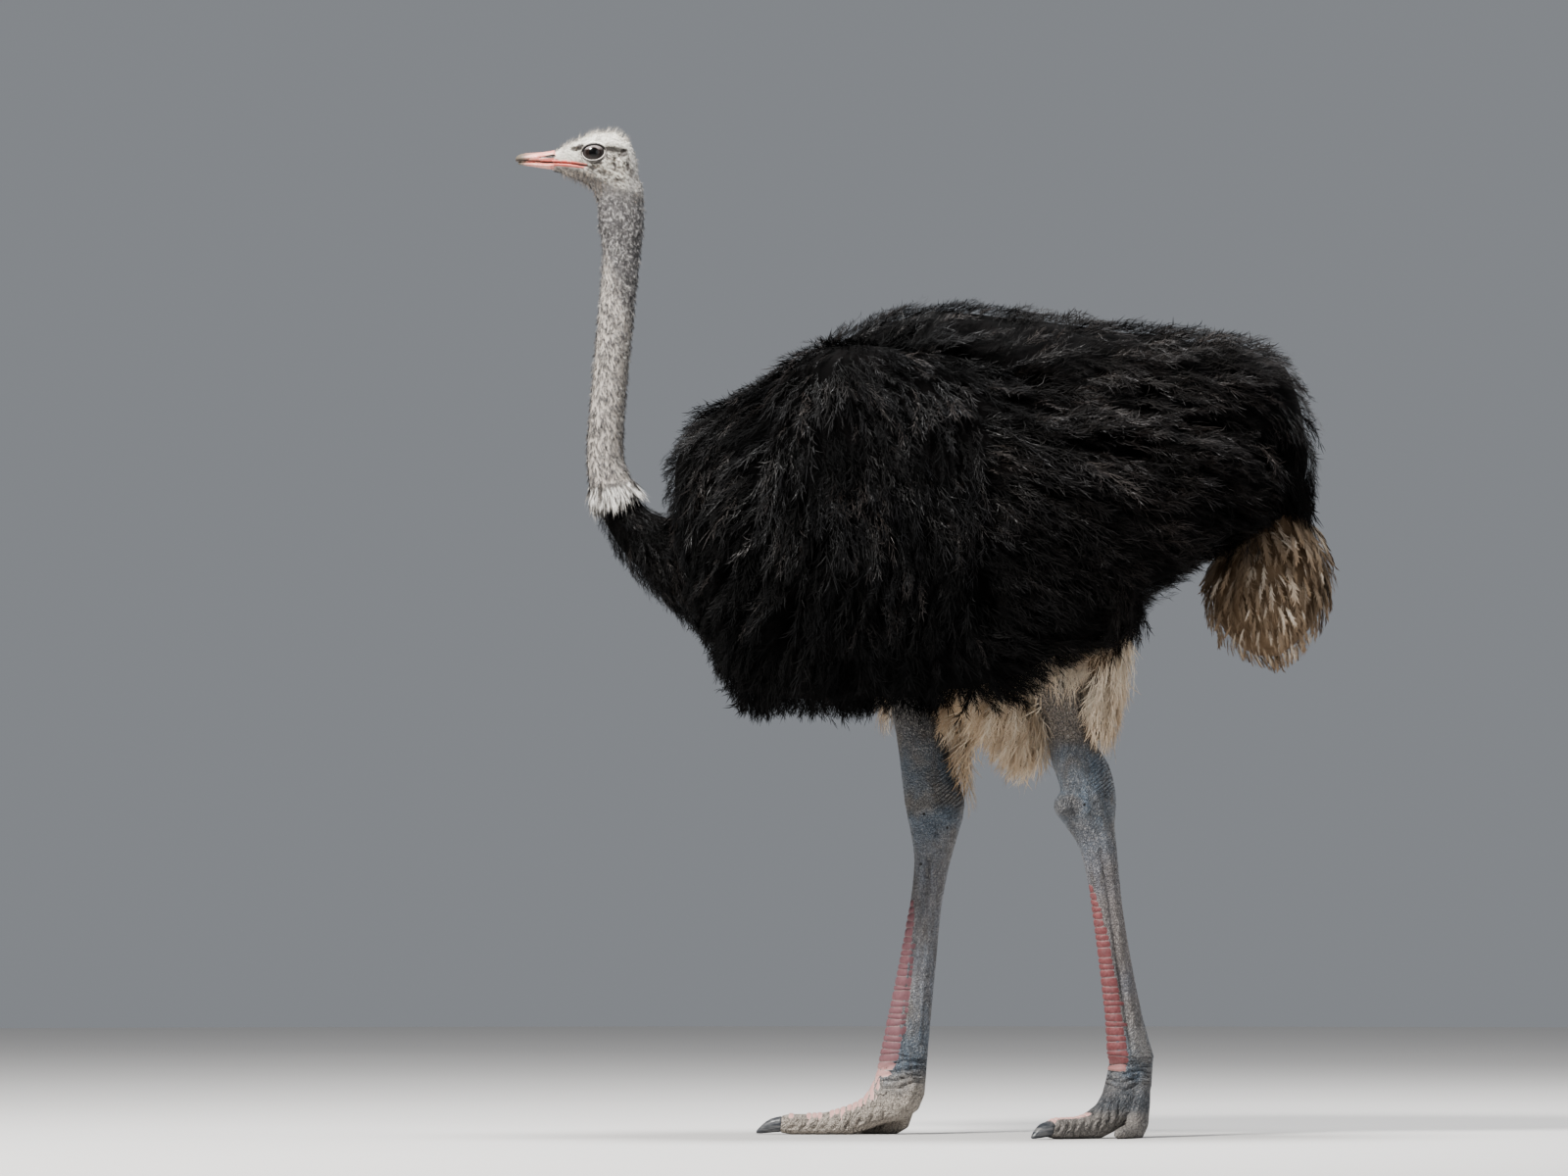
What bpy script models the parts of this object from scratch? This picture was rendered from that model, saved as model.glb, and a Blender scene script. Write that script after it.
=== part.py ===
"""Adult male ostrich standing with its right foot ahead of its left, as a still life-size model.

Units are metres and +Z is up. The bird faces -X, so its left side is towards -Y. The origin lies on the
floor under the middle of the bird. The solids reach to the tips of the plumage.

Most pieces are swept: an outline is extruded from one cross-section to the next. The cross-sections of
head, neck and trunk are given by a point on the upper profile, a point on the lower profile and a half
width, and those of a leg by its middle and its half depth. Smooth curves fill in between them.
"""

import math

import bmesh
import bpy
from mathutils import Vector

# Driving dimensions.
GAP = 0.0006  # between two pieces that a thin cut parts
CLEAR = 0.0015  # between a piece and the neighbour that it is cut round
EYE_RADIUS = 0.0225
EYE_CLEAR = 0.0007
EYE_PLACE = (-0.622, 0.0240, 1.8555)  # of the right eye
ACROSS = Vector((0, 1, 0))

SPINE_SIDES = 18
WING_SIDES = 14
LEG_SIDES = 12
TOE_SIDES = 12

# Base colour, roughness.
FINISHES = {
    "grey_down": ((0.42, 0.40, 0.37), 0.85),
    "black_plumage": ((0.012, 0.011, 0.011), 0.6),
    "cream_plumage": ((0.55, 0.42, 0.28), 0.75),
    "leg_skin": ((0.23, 0.25, 0.27), 0.6),
    "foot_skin": ((0.36, 0.32, 0.28), 0.65),
    "pink_horn": ((0.68, 0.33, 0.28), 0.4),
    "dark_horn": ((0.09, 0.09, 0.09), 0.45),
    "eye": ((0.02, 0.012, 0.01), 0.05),
}

# Head, neck and trunk: name, (x, z) on the upper profile, (x, z) on the lower profile, half width.
SPINE = [
    ("bill_root", (-0.694, 1.861), (-0.702, 1.824), 0.0270),
    ("forehead", (-0.675, 1.870), (-0.692, 1.819), 0.0310),
    ("brow", (-0.631, 1.895), (-0.665, 1.809), 0.0400),
    ("crown", (-0.584, 1.899), (-0.643, 1.799), 0.0430),
    ("poll", (-0.548, 1.883), (-0.630, 1.789), 0.0400),
    ("nape", (-0.532, 1.835), (-0.620, 1.777), 0.0380),
    ("throat", (-0.527, 1.765), (-0.615, 1.752), 0.0370),
    ("larynx", (-0.528, 1.712), (-0.613, 1.708), 0.0360),
    ("neck_high", (-0.534, 1.660), (-0.606, 1.662), 0.0325),
    ("neck_middle", (-0.549, 1.515), (-0.618, 1.515), 0.0315),
    ("neck_low", (-0.563, 1.355), (-0.632, 1.355), 0.0325),
    ("neck_bend", (-0.563, 1.275), (-0.636, 1.268), 0.0350),
    ("collar", (-0.536, 1.219), (-0.625, 1.194), 0.0440),
    ("collar_edge", (-0.505, 1.189), (-0.613, 1.148), 0.0510),
    ("crop", (-0.461, 1.180), (-0.573, 1.085), 0.0680),
    ("neck_foot", (-0.414, 1.197), (-0.503, 1.021), 0.0950),
    ("breast", (-0.357, 1.256), (-0.424, 0.950), 0.1450),
    ("shoulder", (-0.276, 1.385), (-0.320, 0.862), 0.1950),
    ("withers", (-0.155, 1.518), (-0.170, 0.840), 0.2350),
    ("back", (0.010, 1.568), (0.010, 0.846), 0.2500),
    ("loin", (0.210, 1.552), (0.210, 0.880), 0.2480),
    ("croup", (0.400, 1.525), (0.400, 1.012), 0.2250),
    ("rump", (0.560, 1.508), (0.550, 1.108), 0.1850),
    ("tail_root", (0.657, 1.484), (0.658, 1.150), 0.1350),
    ("tail_coverts", (0.708, 1.425), (0.710, 1.172), 0.0850),
    ("tail_end", (0.732, 1.335), (0.735, 1.230), 0.0350),
]
SPINE_STEPS = 2  # cross-sections from one named place to the next

# Nodes parted from that sweep: node, first place, last place, finish.
SPINE_NODES = [
    ("head", "bill_root", "throat", "grey_down"),
    ("neck_upper", "throat", "neck_middle", "grey_down"),
    ("neck_lower", "neck_middle", "collar", "grey_down"),
    ("neck_base", "collar", "breast", "black_plumage"),
    ("trunk_front", "breast", "back", "black_plumage"),
    ("trunk_rear", "back", "croup", "black_plumage"),
    ("rump_plumage", "croup", "tail_end", "black_plumage"),
]

# Bill halves: (x, z) above, (x, z) below, half width.
BILL_UPPER = [
    ((-0.6950, 1.8608), (-0.7010, 1.8370), 0.0265),
    ((-0.7150, 1.8572), (-0.7170, 1.8370), 0.0245),
    ((-0.7350, 1.8560), (-0.7350, 1.8376), 0.0220),
    ((-0.7520, 1.8550), (-0.7520, 1.8374), 0.0185),
    ((-0.7640, 1.8515), (-0.7640, 1.8376), 0.0125),
    ((-0.7690, 1.8465), (-0.7690, 1.8392), 0.0060),
]
BILL_LOWER = [
    ((-0.7013, 1.8360), (-0.7028, 1.8242), 0.0255),
    ((-0.7170, 1.8361), (-0.7180, 1.8262), 0.0235),
    ((-0.7350, 1.8367), (-0.7350, 1.8292), 0.0210),
    ((-0.7520, 1.8365), (-0.7520, 1.8312), 0.0175),
    ((-0.7650, 1.8368), (-0.7640, 1.8335), 0.0110),
]

# Drooped wing, as upright sections from its leading edge back:
# x, top, bottom, distance of its middle from the midline, half thickness.
WING = [
    (-0.485, 1.265, 1.195, 0.135, 0.028),
    (-0.452, 1.345, 1.070, 0.150, 0.060),
    (-0.400, 1.385, 0.900, 0.165, 0.085),
    (-0.330, 1.412, 0.806, 0.182, 0.105),
    (-0.200, 1.505, 0.801, 0.200, 0.128),
    (-0.050, 1.498, 0.803, 0.205, 0.130),
    (0.100, 1.455, 0.826, 0.205, 0.130),
    (0.250, 1.405, 0.880, 0.203, 0.128),
    (0.385, 1.378, 0.948, 0.192, 0.118),
    (0.430, 1.370, 1.010, 0.184, 0.110),
    (0.520, 1.348, 1.072, 0.170, 0.098),
    (0.630, 1.295, 1.135, 0.140, 0.062),
    (0.668, 1.250, 1.170, 0.130, 0.028),
]
WING_STEPS = 2
WING_PART = 6  # the named section where the wing's coverts end and its long plumes begin

# Tail plumes, hanging: height, front, back, half width.
TAIL = [
    (1.215, 0.615, 0.700, 0.060),
    (1.164, 0.590, 0.738, 0.095),
    (1.100, 0.550, 0.762, 0.120),
    (1.034, 0.530, 0.769, 0.130),
    (0.965, 0.546, 0.750, 0.118),
    (0.915, 0.590, 0.706, 0.080),
    (0.893, 0.628, 0.672, 0.035),
]

# Cream plumes on the flanks, on the left (-Y) and right: height, front, back, half width, side.
FLANKS = {
    "flank_left_front": (
        -1,
        [
            (0.940, 0.040, 0.255, 0.060, 0.090),
            (0.850, 0.035, 0.262, 0.058, 0.090),
            (0.800, 0.062, 0.262, 0.050, 0.092),
            (0.745, 0.110, 0.250, 0.040, 0.095),
            (0.695, 0.155, 0.236, 0.024, 0.098),
            (0.672, 0.170, 0.190, 0.010, 0.100),
        ],
    ),
    "flank_left_rear": (
        -1,
        [
            (0.980, 0.270, 0.415, 0.070, 0.100),
            (0.900, 0.270, 0.392, 0.068, 0.102),
            (0.820, 0.280, 0.372, 0.055, 0.104),
            (0.760, 0.300, 0.348, 0.036, 0.106),
            (0.728, 0.320, 0.338, 0.014, 0.108),
        ],
    ),
    "flank_right_rear": (
        1,
        [
            (0.940, -0.010, 0.330, 0.062, 0.090),
            (0.860, 0.000, 0.300, 0.060, 0.090),
            (0.805, 0.010, 0.200, 0.050, 0.092),
            (0.770, 0.025, 0.110, 0.040, 0.096),
            (0.700, 0.050, 0.096, 0.024, 0.100),
            (0.615, 0.074, 0.086, 0.010, 0.104),
        ],
    ),
}

# Legs: height, middle in x, half depth, half width, distance from the midline. TURN is how far the leg
# is turned out, in degrees, and LIFT how much higher its toe joint stands than the planted foot's.
RIGHT_LEG = [
    (0.960, -0.032, 0.056, 0.056, 0.110),
    (0.850, -0.023, 0.047, 0.048, 0.110),
    (0.762, -0.006, 0.045, 0.040, 0.109),
    (0.690, 0.010, 0.0515, 0.037, 0.108),
    (0.627, 0.023, 0.057, 0.040, 0.107),
    (0.572, 0.0225, 0.0455, 0.037, 0.107),
    (0.516, 0.018, 0.034, 0.028, 0.107),
    (0.433, 0.0055, 0.0300, 0.023, 0.108),
    (0.331, -0.008, 0.0340, 0.022, 0.109),
    (0.220, -0.025, 0.0405, 0.024, 0.110),
    (0.115, -0.040, 0.0470, 0.034, 0.110),
]
LEFT_LEG = [
    (1.000, 0.195, 0.066, 0.056, 0.110),
    (0.900, 0.232, 0.056, 0.050, 0.111),
    (0.820, 0.258, 0.046, 0.044, 0.112),
    (0.760, 0.272, 0.040, 0.039, 0.113),
    (0.705, 0.294, 0.0610, 0.038, 0.114),
    (0.655, 0.3095, 0.0575, 0.039, 0.115),
    (0.622, 0.304, 0.0680, 0.041, 0.116),
    (0.592, 0.3110, 0.0540, 0.038, 0.117),
    (0.560, 0.3240, 0.0400, 0.034, 0.117),
    (0.516, 0.334, 0.0345, 0.028, 0.118),
    (0.433, 0.346, 0.0310, 0.023, 0.119),
    (0.331, 0.361, 0.0345, 0.022, 0.120),
    (0.230, 0.377, 0.0400, 0.024, 0.120),
    (0.150, 0.3905, 0.0480, 0.036, 0.120),
]
LEG_STEPS = 2
HOCK = 0.640  # height at which shank and tarsus part
RIGHT_TURN, LEFT_TURN = 0.0, 40.0
RIGHT_LIFT, LEFT_LIFT = 0.0, 0.041
RIGHT_TOE, LEFT_TOE = 1.0, 0.90  # length of the toes as they lie, of their full length
RIGHT_JOINT = (-0.044, 0.110)
LEFT_JOINT = (0.389, -0.120)

# Foot and main toe, from the toe joint: (forward, height) above, (forward, height) below, half width,
# share of the lift.
MAIN_TOE = [
    ((0.0435, 0.1145), (-0.051, 0.1145), 0.0350, 0.85),
    ((0.054, 0.091), (-0.048, 0.076), 0.0345, 0.60),
    ((0.066, 0.072), (-0.037, 0.048), 0.0355, 0.30),
    ((0.083, 0.060), (-0.012, 0.028), 0.0340, 0.12),
    ((0.104, 0.052), (0.022, 0.022), 0.0315, 0.05),
    ((0.126, 0.045), (0.056, 0.010), 0.0295, 0.0),
    ((0.152, 0.040), (0.092, -0.002), 0.0290, 0.0),
    ((0.178, 0.039), (0.140, -0.002), 0.0280, 0.0),
    ((0.207, 0.039), (0.195, -0.002), 0.0255, 0.0),
    ((0.223, 0.036), (0.226, 0.003), 0.0195, 0.0),
]
MAIN_CLAW = [
    ((0.2240, 0.0345), (0.2270, 0.0050), 0.0150, 0.0),
    ((0.2430, 0.0300), (0.2440, 0.0035), 0.0125, 0.0),
    ((0.2590, 0.0190), (0.2600, 0.0020), 0.0085, 0.0),
    ((0.2700, 0.0075), (0.2710, 0.0012), 0.0035, 0.0),
]
OUTER_TOE = [
    ((0.010, 0.088), (-0.034, 0.080), 0.0120, 0.75),
    ((0.022, 0.058), (-0.030, 0.044), 0.0140, 0.45),
    ((0.036, 0.040), (-0.018, 0.012), 0.0155, 0.15),
    ((0.054, 0.029), (0.008, -0.002), 0.0155, 0.0),
    ((0.082, 0.024), (0.058, -0.002), 0.0145, 0.0),
    ((0.108, 0.019), (0.100, -0.002), 0.0115, 0.0),
    ((0.121, 0.011), (0.121, 0.003), 0.0050, 0.0),
]
OUTER_SPREAD = 24.0  # degrees between the main toe and the outer toe
OUTER_OFFSET = 0.030  # of the outer toe's root from the middle of the foot


def smooth(rows, steps):
    """Rows of numbers with further rows in between, on a Catmull-Rom curve through those given."""
    ends = [rows[0], *rows, rows[-1]]
    found = []
    for before, start, end, after in zip(ends, ends[1:], ends[2:], ends[3:]):
        for step in range(steps):
            t = step / steps
            found.append(
                [
                    0.5 * (2 * b + (c - a) * t + (2 * a - 5 * b + 4 * c - d) * t**2 + (3 * b - a - 3 * c + d) * t**3)
                    for a, b, c, d in zip(before, start, end, after)
                ]
            )
    found.append(list(rows[-1]))
    return found


def section(front, back, half_width, across=ACROSS, sides=SPINE_SIDES, square=2.0):
    """Points round a section through front and back. A squareness of 2 is an oval, and more is boxier."""
    middle = (front + back) / 2
    reach = (front - back) / 2
    points = []
    for side in range(sides):
        turn = 2 * math.pi * side / sides
        ahead = math.copysign(abs(math.cos(turn)) ** (2 / square), math.cos(turn))
        aside = math.copysign(abs(math.sin(turn)) ** (2 / square), math.sin(turn))
        points.append(middle + reach * ahead + across * (half_width * aside))
    return points


def grown(sections, by):
    """The same sections, each point moved outwards, and the ends pushed out as far."""
    found = []
    for points in sections:
        middle = sum(points, Vector()) / len(points)
        found.append([p + (p - middle).normalized() * by for p in points])
    for end, inner in ((0, 1), (-1, -2)):
        out = centre(sections[end]) - centre(sections[inner])
        found[end] = [p + out.normalized() * by for p in found[end]]
    return found


def centre(points):
    return sum(points, Vector()) / len(points)


def parted(sections, first, last):
    """The sections from first to last, with the last one drawn back by the thin cut's width."""
    found = [list(points) for points in sections[first : last + 1]]
    if last < len(sections) - 1:
        back = centre(found[-2]) - centre(found[-1])
        found[-1] = [p + back.normalized() * GAP for p in found[-1]]
    return found


def material(finish):
    made = bpy.data.materials.get(finish)
    if made is None:
        colour, roughness = FINISHES[finish]
        made = bpy.data.materials.new(finish)
        made.use_nodes = True
        shader = made.node_tree.nodes["Principled BSDF"]
        shader.inputs["Base Color"].default_value = (*colour, 1)
        shader.inputs["Roughness"].default_value = roughness
    return made


def finished(name, bm, finish):
    """An object of the closed mesh bm, shaded smooth."""
    bmesh.ops.recalc_face_normals(bm, faces=bm.faces)
    mesh = bpy.data.meshes.new(name)
    bm.to_mesh(mesh)
    bm.free()
    mesh.shade_smooth()
    mesh.materials.append(material(finish))
    made = bpy.data.objects.new(name, mesh)
    bpy.context.scene.collection.objects.link(made)
    return made


def sweep(name, sections, finish, flat_base=False):
    """A closed solid: the first section as a face, extruded to each further one in turn."""
    bm = bmesh.new()
    bmesh.ops.create_circle(bm, cap_ends=True, segments=len(sections[0]), radius=1)
    (end,) = bm.faces
    rim = list(end.verts)
    for vertex, point in zip(rim, sections[0]):
        vertex.co = point
    for points in sections[1:]:
        end = bmesh.ops.extrude_discrete_faces(bm, faces=[end])["faces"][0]
        for vertex, point in zip(end.verts, points):
            vertex.co = point
    if not all(len(edge.link_faces) == 2 for edge in rim[0].link_edges):
        bmesh.ops.contextual_create(bm, geom=rim)
    if flat_base:
        everything = [*bm.verts, *bm.edges, *bm.faces]
        cut = bmesh.ops.bisect_plane(
            bm, geom=everything, dist=1e-5, plane_co=(0, 0, 0), plane_no=(0, 0, -1), clear_outer=True
        )["geom_cut"]
        bmesh.ops.contextual_create(bm, geom=[e for e in cut if isinstance(e, bmesh.types.BMEdge)])
    # A piece and its cutter have the same diagonals, so that no bent quad of one crosses the other.
    quads = [face for face in bm.faces if len(face.verts) == 4]
    bmesh.ops.triangulate(bm, faces=quads, quad_method="FIXED")
    return finished(name, bm, finish)


def cutter(name, sections):
    """A hidden solid that Booleans use."""
    made = sweep(name, sections, "dark_horn")
    made.hide_render = True
    made.display_type = "WIRE"
    return made


def cut(made, *tools):
    for tool in tools:
        boolean = made.modifiers.new("cut_" + tool.name, "BOOLEAN")
        boolean.operation = "DIFFERENCE"
        boolean.object = tool


def profile_sections(rows, **shape):
    """Sections from rows of (x, z) above, (x, z) below and half width."""
    flat = [(*above, *below, half_width) for above, below, half_width in rows]
    steps = shape.pop("steps")
    return [
        section(Vector((xa, 0, za)), Vector((xb, 0, zb)), half_width, **shape)
        for xa, za, xb, zb, half_width in smooth(flat, steps)
    ]


def hanging_sections(rows, side, steps, **shape):
    """Level sections from rows of height, front, back, half width and distance from the midline."""
    return [
        section(Vector((front, side * aside, z)), Vector((back, side * aside, z)), half_width, **shape)
        for z, front, back, half_width, aside in smooth(rows, steps)
    ]


def build_spine():
    sections = profile_sections([row[1:] for row in SPINE], steps=SPINE_STEPS, square=2.2)
    places = [row[0] for row in SPINE]
    made = {}
    for node, first, last, finish in SPINE_NODES:
        start, end = (places.index(place) * SPINE_STEPS for place in (first, last))
        made[node] = sweep(node, parted(sections, start, end), finish)
    body = sections[places.index("neck_bend") * SPINE_STEPS :]
    return made, cutter("spine_room", grown(body, CLEAR))


def build_head(head):
    """The bill's halves and the eyes, in sockets cut from the head."""
    upper = profile_sections(BILL_UPPER, steps=2, sides=TOE_SIDES)
    lower = profile_sections(BILL_LOWER, steps=2, sides=TOE_SIDES)
    sweep("bill_upper", upper, "pink_horn")
    sweep("bill_lower", lower, "pink_horn")
    for side, name in ((1, "right"), (-1, "left")):
        place = Vector(EYE_PLACE) * Vector((1, side, 1))
        ball("eye_" + name, place, EYE_RADIUS, "eye")
        socket = ball("socket_" + name, place, EYE_RADIUS + EYE_CLEAR, "eye")
        socket.hide_render = True
        socket.display_type = "WIRE"
        cut(head, socket)


def ball(name, place, radius, finish):
    bm = bmesh.new()
    bmesh.ops.create_uvsphere(bm, u_segments=16, v_segments=8, radius=radius)
    bmesh.ops.rotate(bm, verts=bm.verts, matrix=Vector((0, 0, 1)).rotation_difference(ACROSS).to_matrix())
    bmesh.ops.translate(bm, verts=bm.verts, vec=place)
    return finished(name, bm, finish)


def build_wing(side, name, *tools):
    """One wing in two nodes, and the room that it takes."""
    sections = []
    for x, top, bottom, aside, half_thickness in smooth(WING, WING_STEPS):
        above, below = Vector((x, side * aside, top)), Vector((x, side * aside, bottom))
        sections.append(section(above, below, half_thickness, ACROSS * side, WING_SIDES, 2.3))
    end = len(sections) - 1
    part_at = WING_PART * WING_STEPS
    cut(sweep("wing_" + name, parted(sections, 0, part_at), "black_plumage"), *tools)
    cut(sweep("wing_plumes_" + name, parted(sections, part_at, end), "black_plumage"), *tools)
    return cutter("wing_room_" + name, grown(sections, CLEAR))


def build_tail(*tools):
    rows = [(*row, 0.0) for row in TAIL]
    tail = sweep("tail", hanging_sections(rows, 1, 2, sides=WING_SIDES, square=2.2), "cream_plumage")
    cut(tail, *tools)


def foot_sections(rows, steps, place, forward, lift, reach):
    """Sections of a toe from its rows. Forward is the way it points, and place the foot's toe joint."""
    across = Vector((-forward.y, forward.x, 0))
    found = []
    for ahead_a, za, ahead_b, zb, half_width, share in smooth([(*a, *b, w, s) for a, b, w, s in rows], steps):
        rise = Vector((0, 0, lift * share))
        above = place + forward * (ahead_a * reach) + Vector((0, 0, za)) + rise
        below = place + forward * (ahead_b * reach) + Vector((0, 0, zb)) + rise
        found.append(section(above, below, half_width, across, TOE_SIDES, 2.3))
    return found


def turned(side, degrees):
    """The way a toe points when turned outwards by so much from straight ahead."""
    angle = math.radians(degrees)
    return Vector((-math.cos(angle), side * math.sin(angle), 0))


def build_leg(side, name, rows, turn, joint, lift, reach, trunk_room):
    """Shank, tarsus, foot, outer toe and claw of one leg."""
    forward = turned(side, turn)
    across = Vector((-forward.y, forward.x, 0))
    sections = []
    heights = []
    for z, x, half_depth, half_width, aside in smooth(rows, LEG_STEPS):
        middle = Vector((x, side * aside, z))
        ahead, behind = middle + forward * half_depth, middle - forward * half_depth
        sections.append(section(ahead, behind, half_width, across, LEG_SIDES, 2.1))
        heights.append(z)
    hock = min(range(len(heights)), key=lambda i: abs(heights[i] - HOCK))
    cut(sweep("shank_" + name, parted(sections, 0, hock), "leg_skin"), trunk_room)
    tarsus = [*sections[hock:-1], [p + Vector((0, 0, GAP)) for p in sections[-1]]]
    sweep("tarsus_" + name, tarsus, "leg_skin")

    place = Vector((*joint, 0))
    main = foot_sections(MAIN_TOE, 1, place, forward, lift, reach)
    sweep("foot_" + name, main, "foot_skin", flat_base=True)
    foot_room = cutter("foot_room_" + name, grown(main, CLEAR))
    claw = foot_sections(MAIN_CLAW, 2, place + forward * GAP, forward, lift, reach)
    sweep("claw_" + name, claw, "dark_horn")
    root = place + Vector((0, side * OUTER_OFFSET * math.cos(math.radians(turn)), 0))
    root += Vector((math.sin(math.radians(turn)) * OUTER_OFFSET, 0, 0))
    outer = foot_sections(OUTER_TOE, 1, root, turned(side, turn + OUTER_SPREAD), lift, reach)
    toe = sweep("outer_toe_" + name, outer, "foot_skin", flat_base=True)
    cut(toe, foot_room)
    return cutter("leg_room_" + name, grown(sections, CLEAR))


def build():
    for old in list(bpy.data.objects):
        bpy.data.objects.remove(old)
    nodes, spine_room = build_spine()
    build_head(nodes["head"])
    right_leg = build_leg(
        1, "right", RIGHT_LEG, RIGHT_TURN, RIGHT_JOINT, RIGHT_LIFT, RIGHT_TOE, spine_room
    )
    left_leg = build_leg(-1, "left", LEFT_LEG, LEFT_TURN, LEFT_JOINT, LEFT_LIFT, LEFT_TOE, spine_room)
    legs = {1: right_leg, -1: left_leg}
    wings = {
        side: build_wing(side, name, spine_room, legs[side]) for side, name in ((1, "right"), (-1, "left"))
    }
    build_tail(spine_room, wings[1], wings[-1])
    for name, (side, rows) in FLANKS.items():
        lobe = sweep(name, hanging_sections(rows, side, 2, sides=TOE_SIDES), "cream_plumage")
        cut(lobe, spine_room, legs[side], wings[side])


build()
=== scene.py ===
import math

import bmesh
import bpy
import numpy as np
from mathutils import Matrix, Vector
from mathutils.bvhtree import BVHTree
from mathutils.kdtree import KDTree


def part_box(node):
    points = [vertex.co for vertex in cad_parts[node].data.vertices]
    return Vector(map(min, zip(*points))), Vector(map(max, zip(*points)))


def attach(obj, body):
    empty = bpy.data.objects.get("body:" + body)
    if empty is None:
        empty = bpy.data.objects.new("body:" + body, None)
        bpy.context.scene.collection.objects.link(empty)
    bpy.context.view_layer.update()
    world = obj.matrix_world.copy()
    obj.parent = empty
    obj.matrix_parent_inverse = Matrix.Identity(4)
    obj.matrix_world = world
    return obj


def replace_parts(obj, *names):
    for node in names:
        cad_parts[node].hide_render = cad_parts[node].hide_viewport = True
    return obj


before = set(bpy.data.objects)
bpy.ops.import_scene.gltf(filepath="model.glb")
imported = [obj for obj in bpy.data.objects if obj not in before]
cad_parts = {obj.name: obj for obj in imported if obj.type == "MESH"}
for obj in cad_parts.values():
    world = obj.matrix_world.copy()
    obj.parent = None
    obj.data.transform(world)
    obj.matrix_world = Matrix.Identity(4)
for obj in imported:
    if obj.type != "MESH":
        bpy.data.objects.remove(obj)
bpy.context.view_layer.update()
sides = {"left": -1, "right": 1}


class Wire:  # a node's output, with Python's arithmetic on it
    def __init__(self, finish, socket):
        self.finish = finish
        self.socket = socket

    def sum(self, operation, *values):
        return self.finish.node("ShaderNodeMath", {"operation": operation}, *values)

    def __add__(self, other):
        return self.sum("ADD", self, other)

    def __sub__(self, other):
        return self.sum("SUBTRACT", self, other)

    def __rsub__(self, other):
        return self.sum("SUBTRACT", other, self)

    def __mul__(self, other):
        return self.sum("MULTIPLY", self, other)

    def __truediv__(self, other):
        return self.sum("DIVIDE", self, other)

    def __pow__(self, other):
        return self.sum("POWER", self, other)

    __radd__ = __add__
    __rmul__ = __mul__

    def __abs__(self):
        return self.sum("ABSOLUTE", self)

    def over(self, low, high):  # 0 below low, 1 above high
        settings = {"interpolation_type": "SMOOTHSTEP"}
        return self.finish.node("ShaderNodeMapRange", settings, self, low, high)

    def under(self, low, high):  # 1 below low, 0 above high
        return 1.0 - self.over(low, high)

    def within(self, rise, fall):  # 1 between the two ranges, 0 outside them
        return self.over(*rise) * self.under(*fall)


class Finish:  # one material
    def __init__(self, name, roughness, **constants):
        self.material = bpy.data.materials.new(name)
        self.material.use_nodes = True
        self.tree = self.material.node_tree
        self.shader = self.tree.nodes["Principled BSDF"]
        self.shader.inputs["Roughness"].default_value = roughness
        for socket, value in constants.items():
            self.shader.inputs[socket.replace("_", " ")].default_value = value

    def feed(self, socket, value):
        if isinstance(value, Wire):
            self.tree.links.new(value.socket, socket)
        elif isinstance(value, tuple) and len(value) == 3 and socket.type == "RGBA":
            socket.default_value = (*value, 1)
        else:
            socket.default_value = value

    def node(self, kind, settings, *values, at=None, out=0, **named):  # at: numbers of the sockets
        made = self.tree.nodes.new(kind)
        for key, value in settings.items():
            setattr(made, key, value)
        for index, value in zip(at or range(len(values)), values):
            self.feed(made.inputs[index], value)
        for socket, value in named.items():
            self.feed(made.inputs[socket], value)
        return Wire(self, made.outputs[out])

    def place(self):
        return self.node("ShaderNodeTexCoord", {}, out="Object")

    def axes(self, vector):
        split = self.node("ShaderNodeSeparateXYZ", {}, vector)
        return [Wire(self, out) for out in split.socket.node.outputs]

    def mapped(self, name):  # the first two axes of a UV map
        return self.axes(self.node("ShaderNodeUVMap", {"uv_map": name}))[:2]

    def noise(self, vector, scale, detail=3.0, rough=0.55):
        sockets = {"Vector": vector, "Scale": scale, "Detail": detail, "Roughness": rough}
        return self.node("ShaderNodeTexNoise", {}, **sockets)

    def wander(self, vector, scale, reach, detail=3.0):  # strays by up to half of reach either way
        return (self.noise(vector, scale, detail) - 0.5) * reach

    def cells(self, vector, scale, feature="DISTANCE_TO_EDGE"):
        return self.node("ShaderNodeTexVoronoi", {"feature": feature}, Vector=vector, Scale=scale)

    def waves(self, wire):  # rises and falls between 0 and 1, once for each step of 1
        return self.node("ShaderNodeMath", {"operation": "PINGPONG"}, wire, 0.5) * 2.0

    def joinedAxes(self, x, y, z):
        return self.node("ShaderNodeCombineXYZ", {}, x, y, z)

    def stretched(self, vector, scale):
        return self.node("ShaderNodeMapping", {}, Vector=vector, Scale=scale)

    def mix(self, factor, first, second):
        settings = {"data_type": "RGBA"}
        return self.node("ShaderNodeMix", settings, factor, first, second, at=(0, 6, 7), out=2)

    def colour(self, wire):
        self.feed(self.shader.inputs["Base Color"], wire)

    def rough(self, wire):
        self.feed(self.shader.inputs["Roughness"], wire)

    def bump(self, wire, distance, strength=1.0):
        made = self.node("ShaderNodeBump", {}, Strength=strength, Distance=distance, Height=wire)
        self.feed(self.shader.inputs["Normal"], made)


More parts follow.
